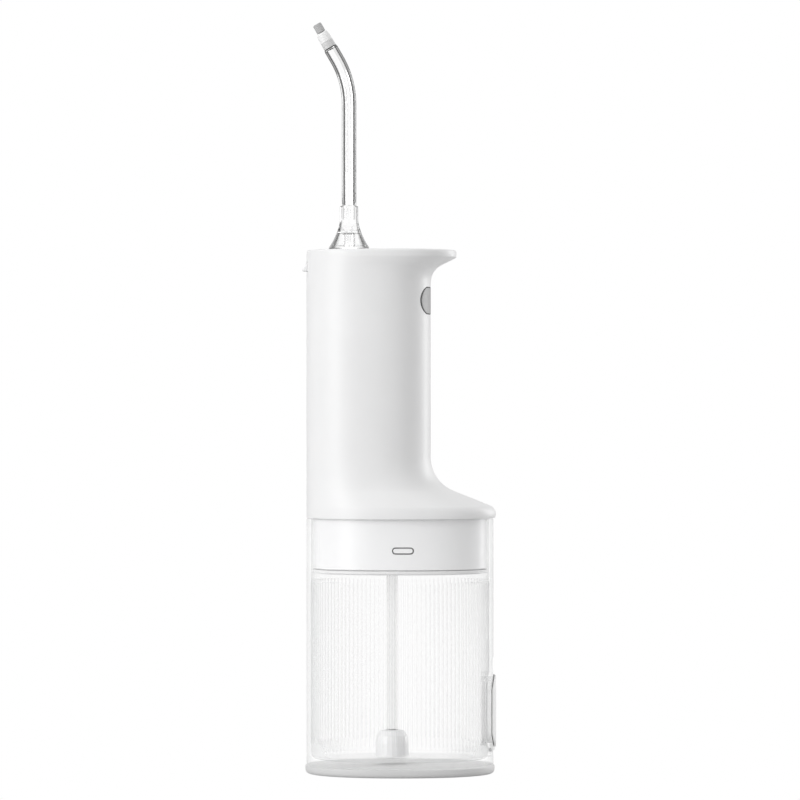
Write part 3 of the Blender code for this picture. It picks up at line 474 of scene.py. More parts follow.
# Black rubber for the nozzle band's ring, and painted shade for the dark rings in the gaps round the button,
# vent and fill plug.
BLACK_RUBBER_AND_GAP_SHADE = moulded("black_rubber_and_painted_gap_shade", (0.02, 0.02, 0.02), 0.6, grain=1500.0)
NYLON = moulded("natural_nylon", (0.8, 0.78, 0.7), 0.5, soak=0.1)
CELL_WRAP = moulded("cell_wrap", (0.1, 0.25, 0.4), 0.3, grain=400.0)
BOARD = moulded("solder_mask", (0.02, 0.2, 0.08), 0.35, grain=900.0, mottling=0.2)
BAND_WHITE = moulded("tip_band_white", (0.88, 0.88, 0.88), 0.45, grain_depth=0.0)
BAND_GREY = moulded("tip_band_grey", (0.66, 0.66, 0.66), 0.45, grain_depth=0.0)
GREY_TIP = moulded("grey_tip_silicone", (0.46, 0.46, 0.46), 0.6, grain_depth=0.0)
STEEL = metal("plain_steel", (0.62, 0.62, 0.63), 0.3)
MOTOR_CAN = metal("motor_can_steel", (0.66, 0.66, 0.67), 0.25, brushing=1400.0)
NICKEL = metal("nickel_strip", (0.7, 0.68, 0.64), 0.3)

# Stops for facing_ramp. In glass the grey is a painted tint: a low grey draws a painted dark line along the
# tube, in place of dark surroundings seen through its sides.
TUBE_EDGE = ((0.12, 1.0), (0.17, 0.2), (0.235, 0.005), (0.32, 0.02), (0.38, 0.42), (1.0, 0.6))
BELL_EDGE = ((0.3, 1.0), (0.45, 0.04), (0.6, 0.1), (0.8, 0.5), (1.0, 0.5))
BORE_EDGE = ((0.6, 1.0), (1.0, 0.6))
CLEAR_TUBE = glass("clear_nozzle_tube", TUBE_EDGE)
CLEAR_BELL = glass("clear_nozzle_bell", BELL_EDGE)
CLEAR_BORE = glass("clear_nozzle_bore", BORE_EDGE)

# In veiled plastic the grey is how opaque the veil is.
HOSE_VEIL = ((0.0, 0.08), (0.5, 0.2), (1.0, 0.5))
LENS_VEIL = ((0.0, 0.6), (1.0, 0.9))
CLEAR_VEIL = ((0.0, 0.03), (0.5, 0.08), (1.0, 0.5))
FROST_VEIL = ((0.0, 0.01), (0.08, 0.04), (0.22, 0.22), (1.0, 0.55))
HOSE = veiled("silicone_hose", (0.92, 0.92, 0.915), 0.4, HOSE_VEIL, 0.00002)
CLEAR_LENS = veiled("indicator_lens_plastic", (0.92, 0.94, 0.96), 0.2, LENS_VEIL, 0.000005)
CLEAR_TANK = veiled("clear_tank_plastic", (0.94, 0.945, 0.945), 0.15, CLEAR_VEIL, 0.000002)
FROSTED_TANK = veiled("frosted_tank_plastic", (0.88, 0.885, 0.885), 0.45, FROST_VEIL, 0.00001)

BY_SLOT = {
    "white_shell": WHITE_SHELL,
    "white_trim": WHITE_TRIM,
    "frosted_tank": FROSTED_TANK,
    "grey_base": GREY_BASE,
    "grey_plastic": GREY_PLASTIC,
    "clear_nozzle": CLEAR_TUBE,
    "rubber_seal": GREY_SILICONE,
    "white_silicone": WHITE_SILICONE,
    "steel": STEEL,
    "motor_can": MOTOR_CAN,
    "gear_nylon": NYLON,
    "battery_wrap": CELL_WRAP,
    "nickel_tab": NICKEL,
    "circuit_board": BOARD,
    "hose_silicone": HOSE,
}
SLOT_OF = {row["node"]: row["material_slot"] for row in frame["record"]["subparts"]}


# ---- handle ----------------------------------------------------------------------------------

SEAM, HANDLE_TOP = SHELL_LOW.z, SHELL_HIGH.z
BACK_X, SKIRT_FRONT_X, SKIRT_HALF_Y = SHELL_LOW.x, SHELL_HIGH.x, SHELL_HIGH.y
COLUMN_FRONT_X, COLUMN_HALF_Y = BUTTON_HIGH.x, 22.0
BEAK_FRONT_X, BEAK_HALF_Y = TOP_HIGH.x + 2.5, TOP_HIGH.y + 2.5
EDGE_RADIUS = 3.45
EDGE_HEIGHT = SEAM + 1.4
SLOPE = math.atan(0.4)
FILLET_RADIUS, FILLET_TOP = 14.0, SEAM + 23.2
BEAK_RADIUS, BEAK_START = 7.6, HANDLE_TOP - 12.4
BEAK_SLOPE = math.atan(0.5)
RIM_BOTTOM, RIM_ROUND = HANDLE_TOP - 2.9, 0.9

EDGE_TOP = EDGE_HEIGHT + EDGE_RADIUS * math.cos(SLOPE)
EDGE_TOP_X = SKIRT_FRONT_X - EDGE_RADIUS + EDGE_RADIUS * math.sin(SLOPE)
FILLET_BOTTOM = FILLET_TOP - FILLET_RADIUS * math.cos(SLOPE)
BEAK_TURN = math.pi / 2 - BEAK_SLOPE
BEAK_ARC_TOP = BEAK_START + BEAK_RADIUS * math.sin(BEAK_TURN)
BEAK_ARC_X = COLUMN_FRONT_X + BEAK_RADIUS * (1 - math.cos(BEAK_TURN))

CLEAR_FRONT, CLEAR_BACK = 20.0, -39.0  # X levels clear of the column's front and of the back
BUTTON_HOLE_X, LENS_HOLE_X, KEY_SLOT_X = 4.0, 8.0, -32.0  # where the holes end, inside the hollow
ROOF = HANDLE_TOP - 2.4
TOP_RECESS_INSET, TOP_RECESS_FLOOR = 2.2, HANDLE_TOP - 1.3
TOP_MIDDLE_X, TOP_INSET, TOP_EDGE = -7.1, 2.5, 0.2
NOZZLE_X = middle(COLLAR_LOW.x, COLLAR_HIGH.x)
ROOF_HOLE_RADIUS, TOP_HOLE_RADIUS = 8.8, 7.6
TOP_HOLE_Z = (198.0, 202.0)
COVER_SEAT_X = -34.3
COVER_BACK_X = -34.6
COVER_PLUG_WIDTH, COVER_PLUG_HEIGHT = 7.6, 1.9

KEY_SLOT = rectangle(5.3, 191.7, 195.4)
KEY_BOTTOM, KEY_TOP, KEY_LIP, KEY_HALF_Y = 192.0, 195.1, 0.5, 5.0
KEY_INNER_X = -31.8
KEY_FLANGE_HALF_Y = 6.3
KEY_FLANGE_X = (-32.6, -31.0)
KEY_ARM_RADIUS, KEY_ARM_Z, KEY_ARM_X = 1.1, 193.4, -31.5

SPRING_WIRE, SPRING_TURNS, SPRING_TURN_POINTS = 0.2, 4, 22


def front_x(z):
    """How far forward the handle reaches at a height: round edge, slope, fillet, column, beak."""
    if z < EDGE_TOP:
        drop = min(abs(z - EDGE_HEIGHT), EDGE_RADIUS)
        return SKIRT_FRONT_X - EDGE_RADIUS + math.sqrt(EDGE_RADIUS**2 - drop**2)
    if z < FILLET_BOTTOM:
        return EDGE_TOP_X - (z - EDGE_TOP) / math.tan(SLOPE)
    if z < FILLET_TOP:
        return COLUMN_FRONT_X + FILLET_RADIUS - math.sqrt(FILLET_RADIUS**2 - (FILLET_TOP - z) ** 2)
    if z < BEAK_START:
        return COLUMN_FRONT_X
    if z < BEAK_ARC_TOP:
        return COLUMN_FRONT_X + BEAK_RADIUS - math.sqrt(BEAK_RADIUS**2 - (z - BEAK_START) ** 2)
    return min(BEAK_ARC_X + (z - BEAK_ARC_TOP) / math.tan(BEAK_SLOPE), BEAK_FRONT_X)


def half_y(z):
    """Half the handle's width at a height: it grows with the reach, to the skirt below and the beak above."""
    low_part = z < (FILLET_TOP + BEAK_START) / 2
    widest_x = SKIRT_FRONT_X if low_part else BEAK_FRONT_X
    widest_y = SKIRT_HALF_Y if low_part else BEAK_HALF_Y
    share = (front_x(z) - COLUMN_FRONT_X) / (widest_x - COLUMN_FRONT_X)
    return COLUMN_HALF_Y + share * (widest_y - COLUMN_HALF_Y)


def outer_ring(z, inset=0.0):
    return superellipse(front_x(z) - inset, BACK_X + inset, half_y(z) - inset, z)


def inner_ring(z):
    """The shell's inside at a height, a wall's thickness in from the outside just below and above too."""
    near = (max(z - WALL, SEAM), z, z + WALL)
    front = min(front_x(h) for h in near) - WALL
    return superellipse(front, BACK_X + WALL, min(half_y(h) for h in near) - WALL, z)


def handle_heights():
    """Heights from the seam up to the rim, closer together where the outline curves."""
    lowest = math.asin((SEAM - EDGE_HEIGHT) / EDGE_RADIUS)
    edge = [EDGE_HEIGHT + EDGE_RADIUS * math.sin(t) for t in steps(lowest, math.pi / 2 - SLOPE, 12)]
    slope = steps(EDGE_TOP, FILLET_BOTTOM, 4)[1:-1]
    fillet = [FILLET_TOP - FILLET_RADIUS * math.sin(t) for t in steps(math.pi / 2 - SLOPE, 0, 16)]
    column = steps(FILLET_TOP, BEAK_START, 6)[1:-1]
    beak = [BEAK_START + BEAK_RADIUS * math.sin(t) for t in steps(0, BEAK_TURN, 12)]
    rim = [RIM_BOTTOM - 0.25, RIM_BOTTOM, RIM_BOTTOM + 0.3, HANDLE_TOP - RIM_ROUND]
    return edge + slope + fillet + column + beak + rim


def handle_rings():
    """The handle's whole outside, with a rounded top edge."""
    rings = [outer_ring(z) for z in handle_heights()]
    for turn in steps(0, math.pi / 2, 6)[1:]:
        level = HANDLE_TOP - RIM_ROUND * (1 - math.sin(turn))
        rings.append([(x, y, level) for x, y, _ in outer_ring(HANDLE_TOP, RIM_ROUND * (1 - math.cos(turn)))])
    return rings


def face_pill(low, high, margin=0.0):
    """The Y-Z pill that a part on the front or back fills, with a margin round it."""
    return pill(high.y - low.y + 2 * margin, high.z - low.z + 2 * margin, 0.0, middle(low.z, high.z))


def make_handle():
    """The hollow shell, open for the top plate, nozzle, button, lens, port cover and release key."""
    inside = [inner_ring(z) for z in handle_heights()[::3] if z < ROOF - 1] + [inner_ring(ROOF)]
    shell = add_mesh("handle_body", inside[::-1] + handle_rings())
    recess = [(x, y) for x, y, _ in outer_ring(HANDLE_TOP, TOP_RECESS_INSET)]
    cut(shell, recess, "Z", TOP_RECESS_FLOOR, HANDLE_TOP + 1)
    drill(shell, ROOF_HOLE_RADIUS, NOZZLE_X, 0.0, ROOF - 2, HANDLE_TOP)
    cut(shell, face_pill(BUTTON_LOW, BUTTON_HIGH, BUTTON_GAP), "X", BUTTON_HOLE_X, CLEAR_FRONT)
    cut(shell, face_pill(LENS_LOW, LENS_HIGH, GAP), "X", LENS_HOLE_X, CLEAR_FRONT)
    cut(shell, face_pill(COVER_LOW, COVER_HIGH, GAP), "X", CLEAR_BACK, COVER_SEAT_X)
    cut(shell, KEY_SLOT, "X", CLEAR_BACK, KEY_SLOT_X)
    finished(shell, WHITE_SHELL, "handle", "handle_shell", slot="white_shell")


def make_top():
    """The plate in the top of the shell, its upper edge eased."""
    plan = outer_ring(HANDLE_TOP, TOP_INSET)
    rings = []
    for z, scale in ((TOP_LOW.z, 1.0), (TOP_HIGH.z - TOP_EDGE, 1.0), (TOP_HIGH.z, 0.994)):
        rings.append([(TOP_MIDDLE_X + (x - TOP_MIDDLE_X) * scale, y * scale, z) for x, y, _ in plan])
    cover = add_mesh("top_plate", rings)
    drill(cover, TOP_HOLE_RADIUS, NOZZLE_X, 0.0, *TOP_HOLE_Z)
    finished(cover, WHITE_SHELL, "handle", "top_cover", slot="white_shell")


def make_power_button():
    """The button's face follows the handle's outside; a dark ring of painted shade fills the gap round it,
    standing for the shadow in that gap.
    """
    button = add_mesh("power_button_face", handle_rings())
    width, height = BUTTON_HIGH.y - BUTTON_LOW.y, BUTTON_HIGH.z - BUTTON_LOW.z
    face = pill(width - 2 * BUTTON_END_GAP, height, 0.0, middle(BUTTON_LOW.z, BUTTON_HIGH.z))
    trim(button, face, "X", BUTTON_LOW.x, CLEAR_FRONT)
    finished(button, GREY_PLASTIC, "power_button", "power_button", slot="grey_plastic", bevel=0.35)
    # Painted shade: a dark ring flush in the gap round the button, in place of the gap's shadow.
    gap_shade = add_mesh("button_gap_painted_shade", [outer_ring(z, 0.15) for z in handle_heights()])
    trim(gap_shade, face_pill(BUTTON_LOW, BUTTON_HIGH, BUTTON_GAP - 0.03), "X", BUTTON_LOW.x, CLEAR_FRONT)
    cut(gap_shade, face, "X", 0.0, CLEAR_FRONT)
    finished(gap_shade, BLACK_RUBBER_AND_GAP_SHADE, "handle", slot="rubber_seal")


def make_lens():
    lens = add_mesh("indicator_window", handle_rings())
    trim(lens, face_pill(LENS_LOW, LENS_HIGH), "X", LENS_LOW.x, CLEAR_FRONT)
    finished(lens, CLEAR_LENS, "handle", "indicator_lens", slot="clear_nozzle", bevel=0.1)


def make_port_cover():
    """A round cover flush with the back, with a flat plug for the charging socket."""
    cover = add_mesh("port_cover", handle_rings())
    trim(cover, face_pill(COVER_LOW, COVER_HIGH), "X", CLEAR_BACK - 1, COVER_BACK_X)
    plug = pill(COVER_PLUG_WIDTH, COVER_PLUG_HEIGHT, 0.0, middle(COVER_LOW.z, COVER_HIGH.z))
    join(cover, plug, "X", COVER_BACK_X - 0.4, COVER_HIGH.x)
    finished(cover, WHITE_SILICONE, "charge_cover", "charge_cover", slot=SLOT_OF["charge_cover"], bevel=0.2)


def make_release_key():
    """A wedge that stands out of the back, on a flange and an arm inside."""
    low, high = RELEASE_LOW, RELEASE_HIGH
    wedge = [(KEY_INNER_X, KEY_BOTTOM), (low.x, KEY_BOTTOM), (low.x, KEY_BOTTOM + KEY_LIP), (BACK_X, KEY_TOP),
             (KEY_INNER_X, KEY_TOP)]
    key = extruded("release_key", wedge, "Y", -KEY_HALF_Y, KEY_HALF_Y)
    join(key, rectangle(KEY_FLANGE_HALF_Y, low.z, high.z), "X", *KEY_FLANGE_X)
    join(key, disc(KEY_ARM_RADIUS, 0.0, KEY_ARM_Z, 24), "X", KEY_ARM_X, high.x)
    finished(key, WHITE_TRIM, "release_button", "release_button", slot="white_trim", bevel=0.25)


def make_release_spring():
    """A coil between the release key's flange and the latch; it shortens as the key goes in."""
    first, last = SPRING_LOW.x + SPRING_WIRE, SPRING_HIGH.x - SPRING_WIRE
    axis_z = middle(SPRING_LOW.z, SPRING_HIGH.z)
    coil_radius = (SPRING_HIGH.z - SPRING_LOW.z) / 2 - SPRING_WIRE
    path = []
    for share in steps(0.0, 1.0, SPRING_TURNS * SPRING_TURN_POINTS):
        turn = FULL_TURN * SPRING_TURNS * share
        x = first + share * (last - first)
        path.append(Vector((x, coil_radius * math.cos(turn), axis_z + coil_radius * math.sin(turn))))
    spring = add_mesh("release_coil", open_tube(path, SPRING_WIRE), sharp=CURVED_ANGLE)
    finished(spring, STEEL, "handle", "release_spring", slot="steel", sharp=CURVED_ANGLE)
    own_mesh(spring)


# ---- tank ------------------------------------------------------------------------------------

TANK_FLOOR = TANK_LOW.z + 2.1
TANK_LIP = 0.3
TANK_OUTSIDE_X = TANK_HIGH.x + 2
FLUTE_COUNT = 114
FLUTE_POINTS = 8
FLUTE_DEPTH = 0.45
FLUTE_BOTTOM, FLUTE_TOP = TANK_LOW.z + 7.4, SEAM - 23.9
FLUTE_FADE = 1.2

PORT_WIDTH, PORT_HEIGHT = 11.0, 27.4
PORT_Z = PLUG_HIGH.z - PORT_HEIGHT / 2
PLATE_BACK_X, LENS_RADIUS = 34.5, 63.0
NECK_BACK_X = 31.0
NECK_WALL = 1.4
PORT_LEDGE = 0.5  # how far the plate overlaps the port on each side
SCOOP_RADIUS, SCOOP_Z, SCOOP_DEPTH, SCOOP_HALF_Y = 8.0, 41.3, 0.8, 4.5
HINGE_TOP = 12.0
HINGE_PAD_HALF_Y, HINGE_PAD_X = 4.8, (31.6, 34.4)
HINGE_NOTCH_HALF_Y, HINGE_NOTCH_BOTTOM, HINGE_NOTCH_X = 3.0, 6.4, 33.2

FLANGE_WIDTH, FLANGE_HEIGHT = 8.8, 24.4
FLANGE_X = (33.4, 34.8)
REAR_FLANGE_X = (PLUG_LOW.x, 32.2)
CORE_INSET = 2.4
CORE_X = (31.6, 34.9)
DISH = ((1.4, PLUG_HIGH.x + 0.1), (2.2, PLUG_HIGH.x - 0.25), (4.0, PLUG_HIGH.x - 0.4))
STRAP_X, STRAP_TOP = (34.4, 36.2), 12.4
PIN_X, PIN_Z = 34.5, 8.9
KNUCKLE_RADIUS, KNUCKLE_HALF_Y, KNUCKLE_BORE = 1.0, 2.4, 0.65
EDGE_SHADE_MARGIN, EDGE_SHADE_RADIUS = 0.15, 0.14
LIP_WIDTH, LIP_HEIGHT, LIP_X = 8.3, 24.2, 32.8
LIP_REACH, LIP_THICKNESS = 0.6, 0.38

BASE_ROUND = 1.5
BASE_GROOVE = ((6.4, -1.0), (6.4, 1.0), (9.4, 1.0), (9.4, -1.0))

COLLAR_FLOOR = HOUSING_LOW.z + 3.4
COLLAR_STEP = SEAL_HIGH.z + 0.3
FILTER_HOLE_RADIUS = 3.0
SCREW_HOLE_RADIUS, SCREW_HEAD_RADIUS, SCREW_HEAD_TOP = 1.5, 2.6, 78.4
VENT_POCKET_DEPTH = 0.9
SHADE_RING_PLAY = 0.02  # between the vent's ring of painted shade and the walls beside it


def port_outline(margin=0.0):
    """The outline of the fill plug's plate, with a margin round it."""
    return pill(PORT_WIDTH + 2 * margin, PORT_HEIGHT + 2 * margin, 0.0, PORT_Z)


def port_lens(name, margin, front):
    """The fill plug's plate: a pill with a bulging back. margin widens it for the tank's recess."""
    plate = extruded(name, port_outline(margin), "X", PLATE_BACK_X - 1, front)
    bulge = disc(LENS_RADIUS + margin, PLATE_BACK_X + LENS_RADIUS, PORT_Z, 240)
    return trim(plate, bulge, "Y", -20.0, 20.0)


def make_tank():
    """Smooth outside, fluted inside between two plain bands, with the fill port and its hinge recess."""
    spots = even_oval(TANK_HIGH.x, TANK_HIGH.y, FLUTE_COUNT * FLUTE_POINTS)

    def ring(inset, z, flute=0.0):
        points = []
        for i, (spot, normal) in enumerate(spots):
            wave = 0.5 - 0.5 * math.cos(FULL_TURN * i / FLUTE_POINTS)
            point = spot - normal * (inset + flute * wave)
            points.append((point.x, point.y, z))
        return points

    fluted = WALL - FLUTE_DEPTH / 2
    profile = [
        (WALL + 2.0, TANK_FLOOR),
        (WALL + 1.0, TANK_FLOOR + 0.3),
        (WALL + 0.3, TANK_FLOOR + 1.0),
        (WALL, TANK_FLOOR + 2),
        (WALL, FLUTE_BOTTOM),
        (fluted, FLUTE_BOTTOM + FLUTE_FADE, FLUTE_DEPTH),
        (fluted, FLUTE_TOP - FLUTE_FADE, FLUTE_DEPTH),
        (WALL, FLUTE_TOP),
        (WALL, TANK_HIGH.z - TANK_LIP),
        (WALL - TANK_LIP, TANK_HIGH.z),
        (TANK_LIP, TANK_HIGH.z),
        (0.0, TANK_HIGH.z - TANK_LIP),
        (0.0, TANK_LOW.z + TANK_LIP),
        (TANK_LIP, TANK_LOW.z),
    ]
    tank = add_mesh("tank_body", [ring(*row) for row in profile], sharp=CURVED_ANGLE)
    join(tank, port_outline(NECK_WALL), "X", NECK_BACK_X, PLATE_BACK_X)
    join(tank, rectangle(HINGE_PAD_HALF_Y, TANK_FLOOR - 0.3, HINGE_TOP), "X", *HINGE_PAD_X)
    boolean(tank, port_lens("cutter", GAP, TANK_OUTSIDE_X))
    cut(tank, port_outline(-PORT_LEDGE), "X", NECK_BACK_X - 1, TANK_OUTSIDE_X)
    notch = rectangle(HINGE_NOTCH_HALF_Y, HINGE_NOTCH_BOTTOM, HINGE_TOP)
    cut(tank, notch, "X", HINGE_NOTCH_X, TANK_OUTSIDE_X)
    scoop = disc(SCOOP_RADIUS, TANK_HIGH.x + SCOOP_RADIUS - SCOOP_DEPTH, SCOOP_Z, 96)
    cut(tank, scoop, "Y", -SCOOP_HALF_Y, SCOOP_HALF_Y)
    finished(tank, CLEAR_TANK, "tank", "tank_shell", slot="frosted_tank", sharp=CURVED_ANGLE)
    tank.data.materials.append(FROSTED_TANK)
    for face in tank.data.polygons:
        x, y, z = face.center / MM
        inside = x * face.normal.x + y * face.normal.y < 0 and TANK_LOW.z + 3 < z < FLUTE_TOP
        face.material_index = 1 if inside else 0


def make_base():
    """The grey foot: rounded underside with a groove, straight side, small shoulder under the tank."""
    top = BASE_HIGH.z
    turns = steps(0, math.pi / 2, 6)
    profile = [(BASE_ROUND * (1 - math.sin(t)), BASE_ROUND * (1 - math.cos(t))) for t in turns]
    profile += [(0.0, top - 0.4), (0.1, top - 0.12), (0.4, top)]
    base = add_mesh("base_foot", [centred_oval(BASE_HIGH, inset, z) for inset, z in profile])
    groove = [centred_oval(BASE_HIGH, inset, z) for inset, z in BASE_GROOVE]
    boolean(base, add_mesh("cutter", groove, loop=True))
    finished(base, GREY_BASE, "tank", "base_cap", slot=SLOT_OF["base_cap"])


def make_fill_plug():
    """A pill-shaped plate with a shallow dish, a flanged core behind and a hinge knuckle below."""
    plug = port_lens("fill_plug", 0.0, PLUG_HIGH.x)
    boolean(plug, add_mesh("dish", [lifted(port_outline(-inset), "X", x) for inset, x in DISH]))
    core = pill(FLANGE_WIDTH - CORE_INSET, FLANGE_HEIGHT - CORE_INSET, 0.0, PORT_Z)
    flange = pill(FLANGE_WIDTH, FLANGE_HEIGHT, 0.0, PORT_Z)
    join(plug, core, "X", *CORE_X)
    join(plug, flange, "X", *FLANGE_X)
    join(plug, flange, "X", *REAR_FLANGE_X)
    join(plug, rectangle(KNUCKLE_HALF_Y, PIN_Z, STRAP_TOP), "X", *STRAP_X)
    join(plug, disc(KNUCKLE_RADIUS, PIN_X, PIN_Z, 32), "Y", -KNUCKLE_HALF_Y, KNUCKLE_HALF_Y)
    cut(plug, disc(KNUCKLE_BORE, PIN_X, PIN_Z, 32), "Y", -4.0, 4.0)
    finished(plug, GLOWING_PLUG_SILICONE, "fill_cap", "fill_cap", slot=SLOT_OF["fill_cap"], bevel=0.25)


def make_plug_edge_shade():
    """A dark bead of painted shade where the plate's bulged back meets the tank, standing for the shadow in
    that gap.
    """
    path = []
    for y, z in port_outline(EDGE_SHADE_MARGIN):
        x = PLATE_BACK_X + LENS_RADIUS - math.sqrt(LENS_RADIUS**2 - (z - PORT_Z) ** 2)
        path.append(Vector((x, y, z)))
    edge_shade = add_mesh("plug_edge_painted_shade", loop_tube(path, EDGE_SHADE_RADIUS), loop=True)
    finished(edge_shade, BLACK_RUBBER_AND_GAP_SHADE, "fill_cap", slot="rubber_seal")


def make_plug_lip():
    """The round lip between the plug's two flanges, which seals the port."""
    rings = []
    for turn in turns_round(16):
        margin = LIP_REACH * math.cos(turn)
        outline = pill(LIP_WIDTH + 2 * margin, LIP_HEIGHT + 2 * margin, 0.0, PORT_Z)
        rings.append(lifted(outline, "X", LIP_X + LIP_THICKNESS * math.sin(turn)))
    finished(add_mesh("plug_lip_seal", rings, loop=True), GLOWING_PLUG_SILICONE, "fill_cap", "fill_cap_seal",
             slot=SLOT_OF["fill_cap"])


def vent_outline(margin=0.0):
    """The vent's outline on the collar's side, with a margin round it."""
    width, height = VENT_HIGH.x - VENT_LOW.x, VENT_HIGH.z - VENT_LOW.z
    return pill(width + 2 * margin, height + 2 * margin, middle(VENT_LOW.x, VENT_HIGH.x),
                middle(VENT_LOW.z, VENT_HIGH.z))


def make_housing():
    """The white collar inside the top of the tank, stepped in at its foot for the seal."""
    bottom, top = HOUSING_LOW.z, HOUSING_HIGH.z
    profile = [
        (2.6, COLLAR_FLOOR),
        (1.9, COLLAR_FLOOR + 0.3),
        (1.6, COLLAR_FLOOR + 1.0),
        (1.6, top - 0.2),
        (1.4, top),
        (0.2, top),
        (0.0, top - 0.2),
        (0.0, COLLAR_STEP + 0.25),
        (0.25, COLLAR_STEP),
        (1.8, COLLAR_STEP),
        (1.8, bottom + 0.4),
        (2.2, bottom),
    ]
    housing = add_mesh("pump_collar", [centred_oval(HOUSING_HIGH, inset, z) for inset, z in profile])
    cut(housing, vent_outline(VENT_GAP), "Y", VENT_LOW.y - 1, VENT_LOW.y + VENT_POCKET_DEPTH)
    drill(housing, FILTER_HOLE_RADIUS, middle(FILTER_LOW.x, FILTER_HIGH.x), 0.0, bottom - 1, COLLAR_FLOOR + 1)
    for low, high in SCREWS:
        x, y = middle(low.x, high.x), middle(low.y, high.y)
        drill(housing, SCREW_HOLE_RADIUS, x, y, bottom - 1, COLLAR_FLOOR + 3)
        drill(housing, SCREW_HEAD_RADIUS, x, y, bottom - 1, SCREW_HEAD_TOP)
    # The collar takes the lighter copy of the trim white, painted light.
    finished(housing, LIT_COLLAR_WHITE, "handle", "pump_housing", slot="white_trim")


def make_vent():
    """The pill-shaped vent in the collar, with a dark ring of painted shade round it, standing for the shadow
    in the gap.
    """
    vent = extruded("vent_plug", vent_outline(), "Y", VENT_LOW.y, VENT_HIGH.y)
    # The vent takes the same lighter copy of the trim white, painted light.
    finished(vent, LIT_COLLAR_WHITE, "handle", "vent_insert", slot="white_trim", bevel=0.12)
    # Painted shade: a dark ring flush in the gap round the vent, in place of the gap's shadow.
    outer, inner = vent_outline(VENT_GAP - SHADE_RING_PLAY), vent_outline(SHADE_RING_PLAY)
    face, back = VENT_LOW.y + 0.1, VENT_LOW.y + 0.7
    section = [lifted(outer, "Y", face), lifted(outer, "Y", back), lifted(inner, "Y", back),
               lifted(inner, "Y", face)]
    finished(add_mesh("vent_gap_painted_shade", section, loop=True), BLACK_RUBBER_AND_GAP_SHADE, "handle", slot="rubber_seal")


def make_collar_seal():
    """The soft ring in the collar's step."""
    low, high = SEAL_LOW.z, SEAL_HIGH.z
    profile = ((0.2, low), (0.0, low + 0.2), (0.0, high - 0.2), (0.2, high), (1.7, high), (1.7, low))
    seal = add_mesh("collar_seal", [centred_oval(SEAL_HIGH, inset, z) for inset, z in profile], loop=True)
    finished(seal, WHITE_SILICONE, "handle", "tank_seal", slot=SLOT_OF["tank_seal"])


# ---- nozzle ----------------------------------------------------------------------------------

TUBE_RADIUS, SLEEVE_RADIUS, BORE_RADIUS, STEM_RADIUS = 2.75, 3.5, 1.1, 2.3
FLARE_BOTTOM = HANDLE_TOP + 0.5
FLARE_EDGE, FLARE_HEIGHT, FLARE_REACH, FLARE_POWER = 0.7, 10.3, 4.1, 1.55
BELL_WALL, BELL_ROOF = 0.9, 5.4
SLEEVE_TOP, BEND_START = HANDLE_TOP + 17.0, HANDLE_TOP + 55.9
BEND_RADIUS, BEND_ANGLE = 34.5, math.radians(30)
ARC_LENGTH = BEND_RADIUS * BEND_ANGLE
ARC_STEPS = 40
TIP_START = ARC_LENGTH + 4.8
TIP_SEAT_RADIUS, TIP_SEAT_DEPTH = 1.6, 3.2
BAND_LENGTH, TIP_LENGTH = 6.9, 3.8
TURN_COLLAR_STEP, O_RING_TOP, O_RING_BOTTOM = 198.9, 190.0, 188.0

# Profiles: distance past the end of the tube, and radius.
BAND_PROFILE = (
    (0.3, 2.3), (0.5, 2.5), (3.0, 2.5), (3.05, 2.44), (3.15, 2.44), (3.2, 2.5), (5.2, 2.45), (6.2, 2.32),
    (6.7, 2.15), (BAND_LENGTH, 1.9), (BAND_LENGTH, 1.3), (3.6, 1.3), (3.6, 1.9), (0.3, 1.9),
)
GREY_BAND_RINGS = 4  # the band is grey up to this ring of its profile
BAND_RING_PROFILE = ((0.04, 1.65), (0.04, 2.6), (0.26, 2.6), (0.26, 1.65))
TIP_FOOT, TIP_END = BAND_LENGTH + 0.3, BAND_LENGTH + TIP_LENGTH
TIP_PROFILE = (
    (4.2, 0.4), (4.2, 1.0), (TIP_FOOT, 1.0), (TIP_FOOT, 1.65), (TIP_FOOT + 0.1, 1.75), (TIP_END - 0.35, 1.72),
    (TIP_END - 0.1, 1.62), (TIP_END, 1.4), (TIP_END, 0.6), (TIP_END - 0.3, 0.4),
)


def nozzle_ring(distance, radius, count=SMALL_ROUND):
    """A circle square to the nozzle's middle line, at a distance from the start of the bend."""
    turn = min(max(distance / BEND_RADIUS, 0.0), BEND_ANGLE)
    rest = distance - ARC_LENGTH if distance > ARC_LENGTH else min(distance, 0.0)
    x = NOZZLE_X - BEND_RADIUS * (1 - math.cos(turn)) - rest * math.sin(turn)
    z = BEND_START + BEND_RADIUS * math.sin(turn) + rest * math.cos(turn)
    ring = []
    for t in turns_round(count):
        across = radius * math.sin(t)
        ring.append((x - across * math.cos(turn), radius * math.cos(t), z - across * math.sin(turn)))
    return ring


def flare(z):
    """The outer radius of the nozzle's bell foot."""
    share = max(0.0, 1 - (z - FLARE_BOTTOM - FLARE_EDGE) / FLARE_HEIGHT)
    return SLEEVE_RADIUS + FLARE_REACH * min(share, 1.0) ** FLARE_POWER


